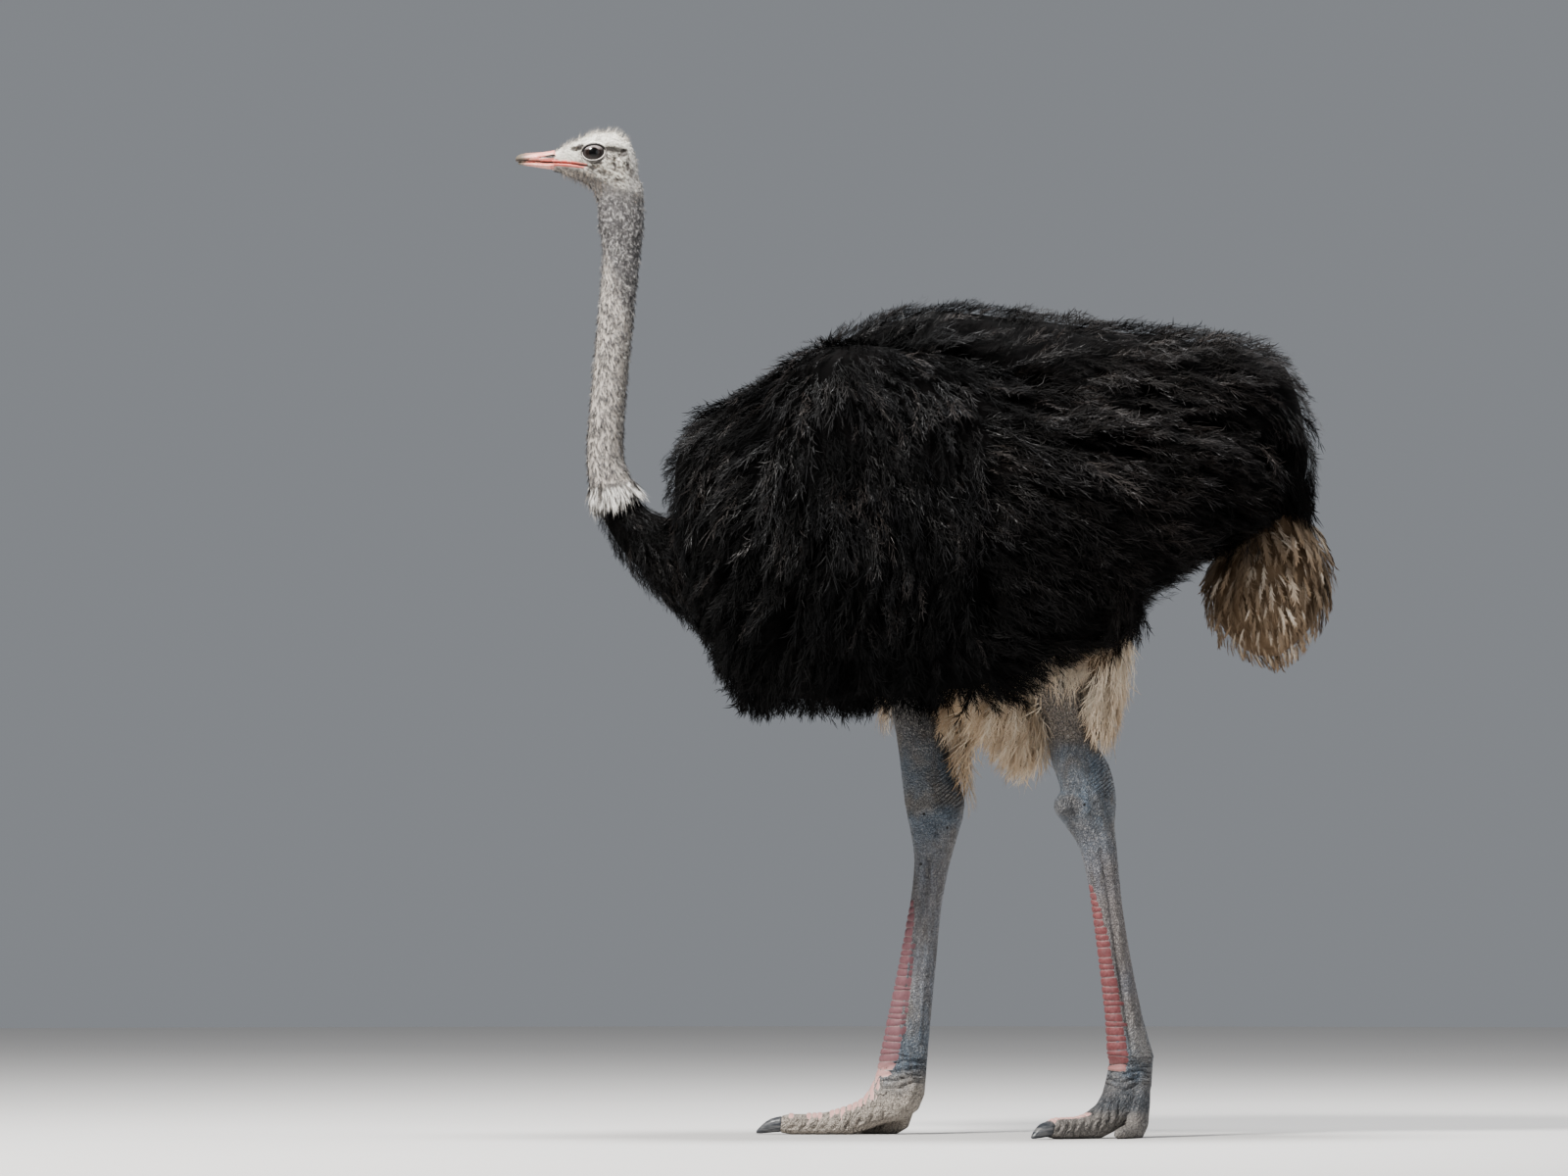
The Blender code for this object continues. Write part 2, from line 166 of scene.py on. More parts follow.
nostril = {
    "x": -0.7088,
    "z": 1.8479,
    "slope": 0.09,
    "halfLength": 0.0170,
    "opening": 0.0030,
    "slit": 0.0012,
}
billMouth = {"x": -0.7095, "z": 1.8388, "slope": -0.0514}
lips = {
    "x": -0.70,
    "z": 1.8365,
    "slope": -0.09,
    "skin": (0.003, 0.0065),
    "skinEnd": (-0.650, -0.630),
    "parting": (0.0010, 0.0024),
    "partingEnd": (-0.636, -0.622),
    "billEdge": (-0.694, -0.680),
}
headTones = {
    "crown": (0.86, 0.84, 0.77),
    "cheek": (0.70, 0.68, 0.61),
    "neck": (0.350, 0.341, 0.332),
    "lowNeck": (0.305, 0.292, 0.270),
    "throat": (0.085, 0.072, 0.063),
    "dark": (0.028, 0.022, 0.019),
    "streak": (0.150, 0.125, 0.102),
    "pepper": (0.085, 0.080, 0.080),
    "marks": [  # dark marks: middle in x and z, half sizes, strength
        ((-0.6555, 1.8626), (0.0115, 0.0054), 0.92),
        ((-0.6455, 1.8662), (0.0100, 0.0064), 0.97),
        ((-0.5960, 1.8625), (0.0120, 0.0052), 0.80),
        ((-0.5800, 1.8610), (0.0220, 0.0072), 0.80),
        ((-0.5640, 1.8550), (0.0085, 0.0085), 0.92),
        ((-0.5700, 1.8490), (0.0060, 0.0044), 0.75),
        ((-0.5975, 1.8520), (0.0028, 0.0095), 0.85),
        ((-0.5815, 1.8315), (0.0034, 0.0085), 0.88),
        ((-0.5835, 1.8440), (0.0034, 0.0055), 0.60),
        ((-0.5572, 1.8285), (0.0034, 0.0095), 0.90),
        ((-0.6170, 1.8365), (0.0150, 0.0044), 0.88),
        ((-0.6240, 1.8270), (0.0110, 0.0052), 0.88),
        ((-0.6080, 1.8195), (0.0120, 0.0042), 0.72),
        ((-0.5960, 1.8140), (0.0130, 0.0036), 0.55),
        ((-0.5750, 1.8050), (0.0140, 0.0034), 0.72),
        ((-0.5500, 1.8180), (0.0060, 0.0120), 0.50),
    ],
}


headEdges = {  # where each colour gives way to the next
    "crown": (1.858, 1.878),
    "face": (1.848, 1.864),
    "faceFront": (-0.672, -0.630),
    "nape": (-0.572, -0.546),
    "napeTop": (1.868, 1.886),
    "throat": (1.8365, 1.8480),
    "neck": (1.755, 1.822),
    "lowNeck": (1.42, 1.72),
    "collar": (1.30, 1.46),
    "darkerUp": (1.34, 1.76),
    "lores": (-0.690, -0.655),
}


def oval(x, z, middle, half):  # 1 inside an oval in the side view, 0 outside
    a = (x - middle[0]) / half[0]
    b = (z - middle[1]) / half[1]
    return (a * a + b * b).under(0.25, 1.3)


def aboveLine(x, z, line):  # height over a sloping line in the side view
    return z - line["z"] - (x - line["x"]) * line["slope"]


def nearLine(height, inner, outer):  # 1 on the line, 0 from outer on
    return (height * height).under(inner**2, outer**2)


def nostrilHole(x, z):  # narrow in front, open at the rear
    ahead = (x - nostril["x"]) / nostril["halfLength"]
    half = ahead.over(-0.7, 0.75) * nostril["opening"] + nostril["slit"]
    off = aboveLine(x, z, nostril) / half
    return (ahead * ahead * ahead * ahead + off * off).under(0.55, 1.15)


def headTone(f, place):  # the markings of head and neck, the same on skin and coat
    tone = headTones
    edge = headEdges
    x, y, z = f.axes(place)
    blurX = x + f.wander(place, 150.0, 0.010)
    blurZ = z + f.wander(place, 190.0, 0.009)
    ragged = f.wander(place, 70.0, 0.02)
    colour = f.mix((z + ragged).over(*edge["crown"]), tone["cheek"], tone["crown"])
    leaning = f.joinedAxes((x * 0.8 - z * 0.6) * 0.40, y, x * 0.6 + z * 0.8)
    combed = f.noise(leaning, 260.0)
    face = z.under(*edge["face"]) * x.over(*edge["faceFront"])
    colour = f.mix(combed.under(0.44, 0.53) * (0.12 + face * 0.76), colour, tone["streak"])
    nape = (x + ragged).over(*edge["nape"]) * z.under(*edge["napeTop"])
    colour = f.mix(nape * 0.62, colour, tone["neck"])
    # darker and browner under the jaw: partly the throat's own brown, partly painted shade
    throat = (z + (x + 0.70) * 0.42 + ragged * 0.7).under(*edge["throat"])
    colour = f.mix(throat * 0.92, colour, tone["throat"])
    low = (z + ragged * 3.4 + (x + 0.60) * 0.30).under(*edge["neck"])
    colour = f.mix(low, colour, tone["neck"])
    colour = f.mix((z + ragged * 3.0).under(*edge["lowNeck"]), colour, tone["lowNeck"])
    colour = f.mix(z.under(*edge["collar"]) * 0.28, colour, tone["pepper"])
    pepper = f.noise(place, 165.0) - 0.010 - z.over(*edge["darkerUp"]) * 0.042
    colour = f.mix(pepper.under(0.45, 0.54) * (0.12 + low * 0.80), colour, tone["pepper"])
    for middle, half, strength in tone["marks"]:
        colour = f.mix(oval(blurX, blurZ, middle, half) * strength, colour, tone["dark"])
    return colour


def headSkinFinish():
    tone = {
        "pink": (0.60, 0.17, 0.135),
        "darkToneAndShade": (0.085, 0.080, 0.080),
        "lores": (0.46, 0.42, 0.38),
        "parting": (0.016, 0.008, 0.007),
    }
    f = Finish("headSkin", 0.6, Specular_IOR_Level=0.3)
    place = f.place()
    x, _, z = f.axes(place)
    # the skin under the down is darker: partly its own darker tone, partly painted shade between the
    # tufts
    colour = f.mix(0.30, headTone(f, place), tone["darkToneAndShade"])
    lores = (x + (z - 1.84) * 0.4).under(*headEdges["lores"])
    colour = f.mix(lores * 0.8, colour, tone["lores"])
    byBill = x + abs(z - lips["z"]) * 1.1 + f.wander(place, 160.0, 0.010)
    colour = f.mix(byBill.under(*lips["billEdge"]), colour, tone["pink"])
    height = aboveLine(x, z, lips)
    pink = nearLine(height, *lips["skin"]) * x.under(*lips["skinEnd"])
    colour = f.mix(pink, colour, tone["pink"])
    # painted shade: a dark line where the lips part, and the nostril's opening painted dark
    parting = nearLine(height, *lips["parting"]) * x.under(*lips["partingEnd"])
    colour = f.mix(parting * 0.95, colour, tone["parting"])
    colour = f.mix(nostrilHole(x, z), colour, tone["parting"])
    f.colour(colour)
    f.bump(f.cells(place, 420.0, "F1") * 0.5 + f.noise(place, 150.0), 0.0009, 0.8)
    return f.material


legTones = {
    "blue": (0.125, 0.160, 0.200),
    "grey": (0.225, 0.218, 0.212),
    "brown": (0.100, 0.083, 0.068),
    "tan": (0.235, 0.190, 0.145),
    "rose": (0.205, 0.178, 0.178),
    "cool": (0.250, 0.250, 0.268),
    "foot": (0.500, 0.445, 0.385),
    "shadedLeftFoot": (0.074, 0.084, 0.097),
    "pale": (0.44, 0.42, 0.39),
    "speck": (0.012, 0.010, 0.009),
    "gap": (0.038, 0.037, 0.040),
}
legEdges = {  # where each colour gives way to the next: one range, or a rise and a fall
    "shank": (0.66, 0.80),
    "hock": ((0.56, 0.62), (0.70, 0.76)),
    "speckled": ((0.70, 0.78), (0.86, 0.92)),
    "tarsus": (0.48, 0.62),
    "lowTarsus": (0.16, 0.30),
    "foot": (0.055, 0.135),
    "toes": (0.035, 0.060),
    "outerToe": (-0.01, 0.004),
    "ankle": ((0.092, 0.110), (0.150, 0.172)),
    "toeCreases": (0.070, 0.095),
}
legSpots = {  # middle in x and z, half sizes, share
    "knee": [
        ((0.2700, 0.6240), (0.0320, 0.0240), 1.0),
        ((0.2820, 0.6800), (0.0240, 0.0460), 0.6),
        ((0.3020, 0.5820), (0.0380, 0.0340), 0.5),
    ],
    "moles": [(-0.002, 0.805), (0.002, 0.607), (-0.004, 0.512), (0.046, 0.581), (0.302, 0.627)],
    "moleSize": (0.0028, 0.0032),
    "rightFolds": ((0.056, 0.664), (0.040, 0.066)),
    "leftFolds": ((0.345, 0.690), (0.040, 0.060)),
}
creaseGaps = {"fold": 0.0066, "ankle": 0.0085, "toe": 0.0075}


def legCreases(f, place, wobble, right):  # painted shade in the folds behind the hocks, the rings at the ankles and the lines on the toes
    x, _, z = f.axes(place)
    slack = oval(x, z, *legSpots["rightFolds"]) * right
    slack = slack + oval(x, z, *legSpots["leftFolds"]) * (1.0 - right)
    folds = f.waves((z * 0.80 - x * 0.60 + wobble * 0.5) / creaseGaps["fold"]).under(0.08, 0.45)
    folds = folds * slack
    rings = f.waves((z + x * 0.15 + wobble * 0.9) / creaseGaps["ankle"]).under(0.06, 0.45)
    rings = rings * z.within(*legEdges["ankle"])
    toes = f.waves((x * 0.85 - z * 0.55 + wobble * 1.6) / creaseGaps["toe"]).under(0.06, 0.50)
    toes = toes * z.under(*legEdges["toeCreases"])
    broken = f.noise(place, 55.0, 2.0).over(0.42, 0.60)
    return folds * 0.55 + rings * 0.6 * (0.3 + broken * 0.7) + toes * (0.14 + broken * 0.36)


def legSkinFinish():
    tone = legTones
    edge = legEdges
    f = Finish("legSkin", 0.5, Specular_IOR_Level=0.35)
    place = f.place()
    x, y, z = f.axes(place)
    right = y.over(-0.01, 0.01)
    left = 1.0 - right
    large = f.noise(place, 9.0, 4.0).over(0.40, 0.62)
    colour = f.mix(large, tone["blue"], tone["grey"])
    shank = (z + f.wander(place, 14.0, 0.12)).over(*edge["shank"])
    # darker brown at the top of the right shank: partly its own brown, partly painted shade from the body
    # above
    colour = f.mix(shank * right * 0.75, colour, tone["brown"])
    colour = f.mix(shank.over(0.35, 1.0) * left * 0.85, colour, tone["tan"])
    hock = z.within(*edge["hock"]) * f.noise(place, 17.0).over(0.42, 0.58)
    colour = f.mix(hock * 0.55, colour, tone["blue"])
    knee = sum(oval(x, z, middle, half) * share for middle, half, share in legSpots["knee"])
    colour = f.mix(knee * left * 0.62, colour, tone["brown"])
    tarsus = z.under(*edge["tarsus"])
    bare = tarsus * z.over(*edge["lowTarsus"])
    colour = f.mix(bare * right * 0.6, colour, tone["cool"])
    colour = f.mix(bare * left * 0.55, colour, tone["rose"])
    streaks = f.noise(f.stretched(place, (1.0, 1.0, 0.10)), 95.0, 4.0)
    colour = f.mix(streaks.under(0.38, 0.54) * tarsus * 0.30, colour, tone["brown"])
    stain = f.noise(f.stretched(place, (1.0, 1.0, 0.4)), 34.0, 5.0).over(0.50, 0.66)
    colour = f.mix(stain * 0.40, colour, tone["brown"])
    low = (z + f.wander(place, 30.0, 0.05)).under(*edge["foot"])
    # the right foot's pale tone is partly painted sunlight
    colour = f.mix(low * right, colour, tone["foot"])
    colour = f.mix(low * left * 0.8, colour, tone["shadedLeftFoot"])  # painted shade: the left foot is dark grey, shaded by the body, with paler toes mixed back in below
    outer = (y + 0.165).over(*edge["outerToe"])
    toesOnly = (z + f.wander(place, 40.0, 0.02)).under(*edge["toes"])
    colour = f.mix(toesOnly * left * (0.46 - outer * 0.1), colour, tone["foot"])
    wobble = f.noise(place, 40.0, 2.0) * 0.02
    shift = f.joinedAxes(wobble, wobble, wobble)
    shifted = f.node("ShaderNodeVectorMath", {"operation": "ADD"}, place, shift)
    scales = f.cells(f.stretched(shifted, (1.0, 1.0, 0.75)), 260.0)
    folds = f.noise(f.stretched(place, (0.35, 0.35, 2.6)), 52.0, 4.0)
    flecks = f.noise(f.stretched(shifted, (1.0, 1.0, 0.7)), 330.0)
    coarse = f.noise(place, 150.0)
    strong = z.within(*edge["speckled"])
    # pale flecks: partly the skin's own speckle, partly painted glints; dark flecks, darker patches and
    # darker scale borders: partly speckle, partly painted shade in the gaps and grooves, strongest near
    # the body
    colour = f.mix(flecks.under(0.40, 0.52) * (0.42 + strong * 0.25), colour, tone["gap"])
    colour = f.mix(flecks.over(0.54, 0.66) * (0.38 + strong * 0.30), colour, tone["pale"])
    colour = f.mix(coarse.under(0.36, 0.46) * strong * 0.55, colour, tone["gap"])
    colour = f.mix(scales.under(0.0, 0.20) * 0.24, colour, tone["gap"])
    creases = legCreases(f, place, wobble, right)
    # painted shade in the creases
    colour = f.mix(creases, colour, tone["gap"])
    for mole in legSpots["moles"]:
        colour = f.mix(oval(x, z, mole, legSpots["moleSize"]) * 0.95, colour, tone["speck"])
    colour = f.mix(f.noise(place, 120.0, 2.0).over(0.735, 0.77) * 0.8, colour, tone["speck"])
    f.colour(colour)
    f.bump(scales.over(0.0, 0.3) * 0.6 + folds * 1.2 + flecks * 0.7 - creases * 1.5, 0.0024, 1.0)
    f.rough(0.50 + large * 0.15)
    return f.material


def plainSkinFinish(name, first, second):
    f = Finish(name, 0.9, Specular_IOR_Level=0.1)
    f.colour(f.mix(f.noise(f.place(), 30.0).over(0.35, 0.65), first, second))
    return f.material


def plumageFinish(name, tones, roughness, gloss):
    f = Finish(name, roughness, Specular_IOR_Level=gloss)
    place = f.place()
    x, _, z = f.axes(place)
    chance, along = f.mapped("Vane")
    patches = f.noise(place, tones["patchScale"]).over(0.35, 0.65)
    colour = f.mix(patches, tones["first"], tones["second"])
    if "rear" in tones:  # browner towards the rump
        colour = f.mix(x.over(0.0, 0.45) * 0.8, colour, tones["rear"])
    # on the black, the odd tufts and the tips are painted gleams; on the cream and the tail they are the
    # plumes' own paler tones and brown tips
    odd = chance.over(tones["oddFrom"], tones["oddFrom"] + 0.15)
    tips = along.over(*tones["tipFrom"]) * tones["tipShare"]
    # painted shade: lower down, and on tufts with a low chance, the black turns darker and loses its
    # gleams, as though lit from above
    if "shadeBelow" in tones:
        high = z.over(*tones["shadeBelow"]) * chance.over(0.10, 0.44)
        glint = f.noise(place, 170.0).over(0.46, 0.60)  # painted gleams, short and broken along each barb
        odd = odd * (high * 0.85 + 0.15) * (0.35 + glint * 0.65)
        tips = tips * (high * 0.85 + 0.15) * (0.40 + glint * 0.60)
        colour = f.mix((1.0 - high) * 0.7, colour, tones["root"])
        f.rough(roughness + 0.42 - high * (0.24 + glint * 0.18))
    colour = f.mix(odd, colour, tones["odd"])
    colour = f.mix(tips, colour, tones["tip"])
    # painted shade: darker at the roots, under the overlying plumes, and on the tufts that lie between
    # the clumps
    colour = f.mix(along.under(0.0, 0.35) * tones["rootShare"], colour, tones["root"])
    colour = f.mix(chance.under(0.12, 0.34) * tones["clumpGapShade"], colour, tones["root"])
    f.colour(colour)
    return f.material


blackTones = {
    "first": (0.0009, 0.0009, 0.0012),
    "second": (0.0022, 0.0017, 0.0015),
    "rear": (0.0062, 0.0037, 0.0026),
    # odd and tip: painted gleams, grey and grey-blue strokes on the black
    "odd": (0.0350, 0.0278, 0.0245),
    "oddFrom": 0.64,
    "tip": (0.0195, 0.0198, 0.0218),
    "tipFrom": (0.4, 1.0),
    "tipShare": 0.5,
    # painted shade: where the black darkens towards the bottom
    "shadeBelow": (0.78, 1.16),
    "root": (0.0005, 0.0005, 0.0005),
    "rootShare": 0.9,
    "clumpGapShade": 0.0,
    "patchScale": 9.0,
}
creamTones = {
    "first": (0.60, 0.485, 0.36),
    "second": (0.42, 0.322, 0.225),
    "rear": (0.95, 0.840, 0.700),
    "odd": (0.76, 0.690, 0.58),
    "oddFrom": 0.66,
    "tip": (0.34, 0.225, 0.125),
    "tipFrom": (0.5, 1.0),
    "tipShare": 0.40,
    "root": (0.20, 0.145, 0.09),
    "rootShare": 0.45,
    "clumpGapShade": 0.55,
    "patchScale": 14.0,
}
# the tail: a darker copy of the cream, partly the tail's own tan, partly painted shade
tailTones = dict(
    creamTones,
    rear=(0.26, 0.20, 0.145),
    first=(0.355, 0.265, 0.180),
    second=(0.190, 0.130, 0.082),
    odd=(0.54, 0.475, 0.395),
    tip=(0.150, 0.098, 0.060),
    tipShare=0.5,
    root=(0.10, 0.068, 0.043),
    rootShare=0.7,
    patchScale=26.0,
)


downTones = {
    "darkToneAndShade": (0.080, 0.078, 0.082),
    "tip": (0.64, 0.62, 0.58),
    "tipShare": 0.38,
    "tipped": (0.18, 0.36),  # which of the tufts have pale tips
    "darker": 0.42,
    "own": 0.0,  # how much of the colour is not the skin's
}
collarTones = {
    "darkToneAndShade": (0.12, 0.11, 0.10),
    "tip": (0.93, 0.91, 0.87),
    "tipShare": 0.85,
    "tipped": (0.60, 0.75),
    "darker": 0.25,
    "own": 0.0,
}
hairTones = dict(downTones, darkToneAndShade=(0.25, 0.20, 0.155), tip=(0.12, 0.082, 0.058), tipShare=0.9, own=0.55)


def downFinish(name, tones):
    darkToneAndShade = tones["darkToneAndShade"]
    f = Finish(name, 0.75, Specular_IOR_Level=0.2)
    place = f.place()
    chance, along = f.mapped("Vane")
    colour = f.mix(tones["own"], headTone(f, place), darkToneAndShade)
    low = f.axes(place)[2].under(1.76, 1.80)
    # painted shade at the roots, between the tufts
    colour = f.mix(along.under(0.0, 0.45) * (0.28 + low * 0.14), colour, darkToneAndShade)
    colour = f.mix(chance.over(0.70, 0.84) * 0.45, colour, darkToneAndShade)
    colour = f.mix(chance.over(0.45, 0.60) * low * tones["darker"], colour, darkToneAndShade)
    pale = chance.under(*tones["tipped"]) * along.over(0.2, 0.7) * (0.25 + low * 0.75)
    colour = f.mix(pale * tones["tipShare"], colour, tones["tip"])
    f.colour(colour)
    return f.material


def hornFinish(name, first, second, streaks):
    f = Finish(name, 0.42, Specular_IOR_Level=0.5, Coat_Weight=0.25, Coat_Roughness=0.25)
    place = f.place()
    lines = f.noise(f.stretched(place, streaks), 120.0, 4.0)
    f.colour(f.mix(lines.over(0.38, 0.66), first, second))
    f.bump(lines, 0.0004, 0.6)
    return f.material


def billFinish():
    tone = {
        "pink": (0.62, 0.205, 0.178),
        "pale": (0.68, 0.40, 0.325),
        "nail": (0.125, 0.105, 0.084),
        "edge": (0.040, 0.028, 0.023),
        "hole": (0.012, 0.008, 0.007),
    }
    f = Finish("billHorn", 0.38, Specular_IOR_Level=0.5)
    place = f.place()
    x, _, z = f.axes(place)
    lines = f.noise(f.stretched(place, (0.25, 1.0, 1.0)), 190.0, 4.0)
    colour = f.mix(lines.over(0.36, 0.66), tone["pink"], tone["pale"])
    tip = (x + f.wander(place, 90.0, 0.012)).under(-0.760, -0.735)
    colour = f.mix(tip, colour, tone["nail"])
    # painted shade: dark along the mouth line where the mandibles meet, and in the nostril's opening
    byMouth = nearLine(aboveLine(x, z, billMouth), 0.0007, 0.0019)
    colour = f.mix(byMouth * 0.95, colour, tone["edge"])
    ridge = (z - (x + 0.70) * 0.2).over(1.8585, 1.8615) * x.under(-0.735, -0.715)
    colour = f.mix(ridge * 0.6, colour, tone["nail"])
    colour = f.mix(nostrilHole(x, z), colour, tone["hole"])
    f.colour(colour)
    f.bump(lines, 0.0003, 0.6)
    return f.material


def scuteFinish():
    tone = {
        "red": (0.150, 0.050, 0.052),
        "pink": (0.205, 0.078, 0.080),
        "worn": (0.12, 0.075, 0.078),
        "right": (0.185, 0.125, 0.145),
        "edge": (0.30, 0.21, 0.20),
        "toe": (0.60, 0.37, 0.335),
        "toeEdge": (0.72, 0.65, 0.58),
    }
    f = Finish("scuteHorn", 0.62, Specular_IOR_Level=0.35)
    across, along = f.mapped("Plate")
    place = f.place()
    _, y, z = f.axes(place)
    a = across * 2.0 - 1.0
    b = along * 2.0 - 1.0
    edge = (a * a).over(0.80, 1.0) * 0.6 + (b * b).over(0.62, 0.96)
    grain = f.noise(place, 220.0, 4.0)
    colour = f.mix(grain.over(0.35, 0.7), tone["red"], tone["pink"])
    colour = f.mix(f.noise(place, 60.0, 2.0).over(0.50, 0.70) * 0.35, colour, tone["worn"])
    colour = f.mix(y.over(-0.01, 0.01) * 0.42, colour, tone["right"])
    colour = f.mix(edge * 0.70, colour, tone["edge"])
    # pale pink-white below the ankle: partly the toe plates' own paler horn, partly painted sunlight
    foot = f.mix(edge * 0.9, tone["toe"], tone["toeEdge"])
    f.colour(f.mix(z.under(0.100, 0.150) * 0.9, colour, foot))
    f.bump(grain, 0.0005, 0.6)
    return f.material


def eyeFinish():
    tone = {
        "pupil": (0.0015, 0.0015, 0.0015),
        "dark": (0.009, 0.0054, 0.0044),
        "brown": (0.020, 0.0125, 0.0095),
        "rim": (0.040, 0.034, 0.033),
        "skyReflection": (0.30, 0.265, 0.26),
    }
    f = Finish("wetEye", 0.22, Coat_Weight=0.5, Coat_Roughness=0.03, Specular_IOR_Level=0.2)
    x, _, z = f.axes(f.place())
    dx = x - eyeAt["left"].x
    dz = z - eyeAt["left"].z
    radius = (dx * dx + dz * dz) ** 0.5
    streaks = f.noise(f.place(), 900.0, 2.0).over(0.3, 0.7)
    iris = f.mix(streaks, tone["dark"], tone["brown"])
    iris = f.mix(radius.over(0.0125, 0.0170), iris, tone["rim"])
    # painted reflection: a pale crescent at the top of the iris stands for the sky mirrored in the eye
    skyReflection = dz.over(0.0040, 0.0100) * radius.over(0.0088, 0.0125)
    iris = f.mix(skyReflection * 0.85, iris, tone["skyReflection"])
    f.colour(f.mix(radius.over(0.0080, 0.0090), tone["pupil"], iris))
    return f.material


def lidFinish():
    tone = {
        "dark": (0.16, 0.148, 0.138),
        "pale": (0.34, 0.315, 0.285),
        "black": (0.012, 0.010, 0.010),
        "rim": (0.60, 0.565, 0.52),
        "fuzz": (0.13, 0.118, 0.108),
        "lines": [  # dark rings: from, to, share
            (-0.05, 0.03, 0.9),
            (0.25, 0.48, 0.92),
            (0.64, 0.94, 0.82),
        ],
    }
    f = Finish("lidSkin", 0.5, Specular_IOR_Level=0.35)
    around, outward = f.mapped("Lid")
    place = f.place()
    outward = outward + f.wander(place, 130.0, 0.16, 2.0) + f.wander(place, 420.0, 0.22)
    fuzz = f.noise(f.stretched(place, (0.45, 1.0, 1.0)), 480.0, 2.0)
    grain = f.noise(place, 260.0)
    upper = around.within((0.0, 0.05), (0.45, 0.5))
    lower = 1.0 - upper
    colour = f.mix(grain.over(0.35, 0.65), tone["dark"], tone["pale"])
    rim = outward.within((0.04, 0.09), (0.17, 0.24)) * lower
    colour = f.mix(rim * 0.85, colour, tone["rim"])
    colour = f.mix(upper * outward.under(0.36, 0.52) * 0.96, colour, tone["black"])
    for start, end, share in tone["lines"]:
        line = outward.within((start - 0.04, start + 0.02), (end - 0.02, end + 0.06))
        colour = f.mix(line * share * lower * (0.55 + grain * 0.7), colour, tone["black"])
    away = outward + upper * 0.30
    colour = f.mix(away.over(0.82, 1.0), colour, headTone(f, place))
    colour = f.mix(fuzz.under(0.42, 0.54) * outward.over(0.45, 0.60) * 0.55, colour, tone["fuzz"])
    f.colour(colour)
    f.bump(grain * 0.6 + fuzz, 0.0009, 0.8)
    return f.material


def joined(name, bm, material, slot):
    mesh = bpy.data.meshes.new(name)
    bm.to_mesh(mesh)
    bm.free()
    mesh.materials.append(material)
    mesh.shade_smooth()
    return placed(name, mesh, slot)


def placed(name, mesh, slot):
    made = bpy.data.objects.new(name, mesh)
    bpy.context.scene.collection.objects.link(made)
    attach(made, "root")
    return made


def cadCopy(names, back=None):
    bm = bmesh.new()
    for name in names:
        bm.from_mesh(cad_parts[name].data)
    bmesh.ops.remove_doubles(bm, verts=bm.verts, dist=1e-5)
    if back:  # a second copy, moved so that the piece reaches into its neighbour
        copy = bmesh.ops.duplicate(bm, geom=[*bm.verts, *bm.edges, *bm.faces])["geom"]
        moved = [v for v in copy if isinstance(v, bmesh.types.BMVert)]
        bmesh.ops.translate(bm, verts=moved, vec=back)
    return bm


def applied(mesh, modifiers, weights=None):  # the mesh that a list of modifiers makes of this one
    made = bpy.data.objects.new("working", mesh)
    bpy.context.scene.collection.objects.link(made)
    if weights is not None:
        group = made.vertex_groups.new(name="share")
        for index, weight in enumerate(weights):
            group.add([index], weight, "REPLACE")
    for kind, settings in modifiers:
        modifier = made.modifiers.new(kind, kind)
        for key, value in settings.items():
            setattr(modifier, key, value)
    graph = bpy.context.evaluated_depsgraph_get()
    found = bpy.data.meshes.new_from_object(made.evaluated_get(graph))
    bpy.data.objects.remove(made)
    return found


def fused(bm, voxel, smoothing):  # one closed mesh round several solids
    mesh = bpy.data.meshes.new("working")
    bm.to_mesh(mesh)
    bm.free()
    remesh = ("REMESH", {"mode": "VOXEL", "voxel_size": voxel})
    return applied(mesh, [remesh, ("SMOOTH", {"factor": 0.5, "iterations": smoothing})])


def thinned(mesh, share, coarse=None):  # fewer faces, above all where coarse says 1
    settings = {"ratio": share}
    weights = None
    if coarse is not None:
        settings.update(vertex_group="share", vertex_group_factor=1.0)
        weights = coarse(pointsOf(mesh))
    return applied(mesh, [("DECIMATE", settings)], weights)


def pointsOf(mesh):
    found = np.empty(len(mesh.vertices) * 3, np.float32)
    mesh.vertices.foreach_get("co", found)
    return found.reshape(-1, 3).astype(np.float64)


def normalsOf(mesh):
    found = np.empty(len(mesh.vertices) * 3, np.float32)
    mesh.vertex_normals.foreach_get("vector", found)
    return found.reshape(-1, 3).astype(np.float64)


def setPoints(mesh, points):
    mesh.vertices.foreach_set("co", points.astype(np.float32).ravel())
    mesh.update()


def unit(vectors):
    return vectors / np.maximum(np.linalg.norm(vectors, axis=-1, keepdims=True), 1e-9)


def step(values, low, high):  # 0 below low, 1 above high, smooth between
    t = np.clip((values - low) / (high - low), 0, 1)
    return t * t * (3 - 2 * t)


def sunk(mesh, depth):  # pulled in by depth, but no further than its own thickness allows
    tree = BVHTree.FromPolygons([v.co for v in mesh.vertices], [p.vertices for p in mesh.polygons])
    points, normals = pointsOf(mesh), normalsOf(mesh)
    for i, (point, normal) in enumerate(zip(points, normals)):
        away = Vector(-normal)
        hit = tree.ray_cast(Vector(point) + away * 0.001, away)
        room = hit[3] if hit[0] else 0.0
        points[i] = point - normal * min(depth(point), 0.36 * room)
    setPoints(mesh, points)


def strokeDistance(points, stroke):  # from each point to a polyline in x and z
    best = np.full(len(points), 9.0)
    flat = points[:, [0, 2]]
    for start, end in zip(stroke, stroke[1:]):
        a, b = np.array(start), np.array(end)
        t = np.clip(((flat - a) @ (b - a)) / ((b - a) @ (b - a)), 0, 1)
        best = np.minimum(best, np.linalg.norm(flat - (a + t[:, None] * (b - a)), axis=1))
    return best


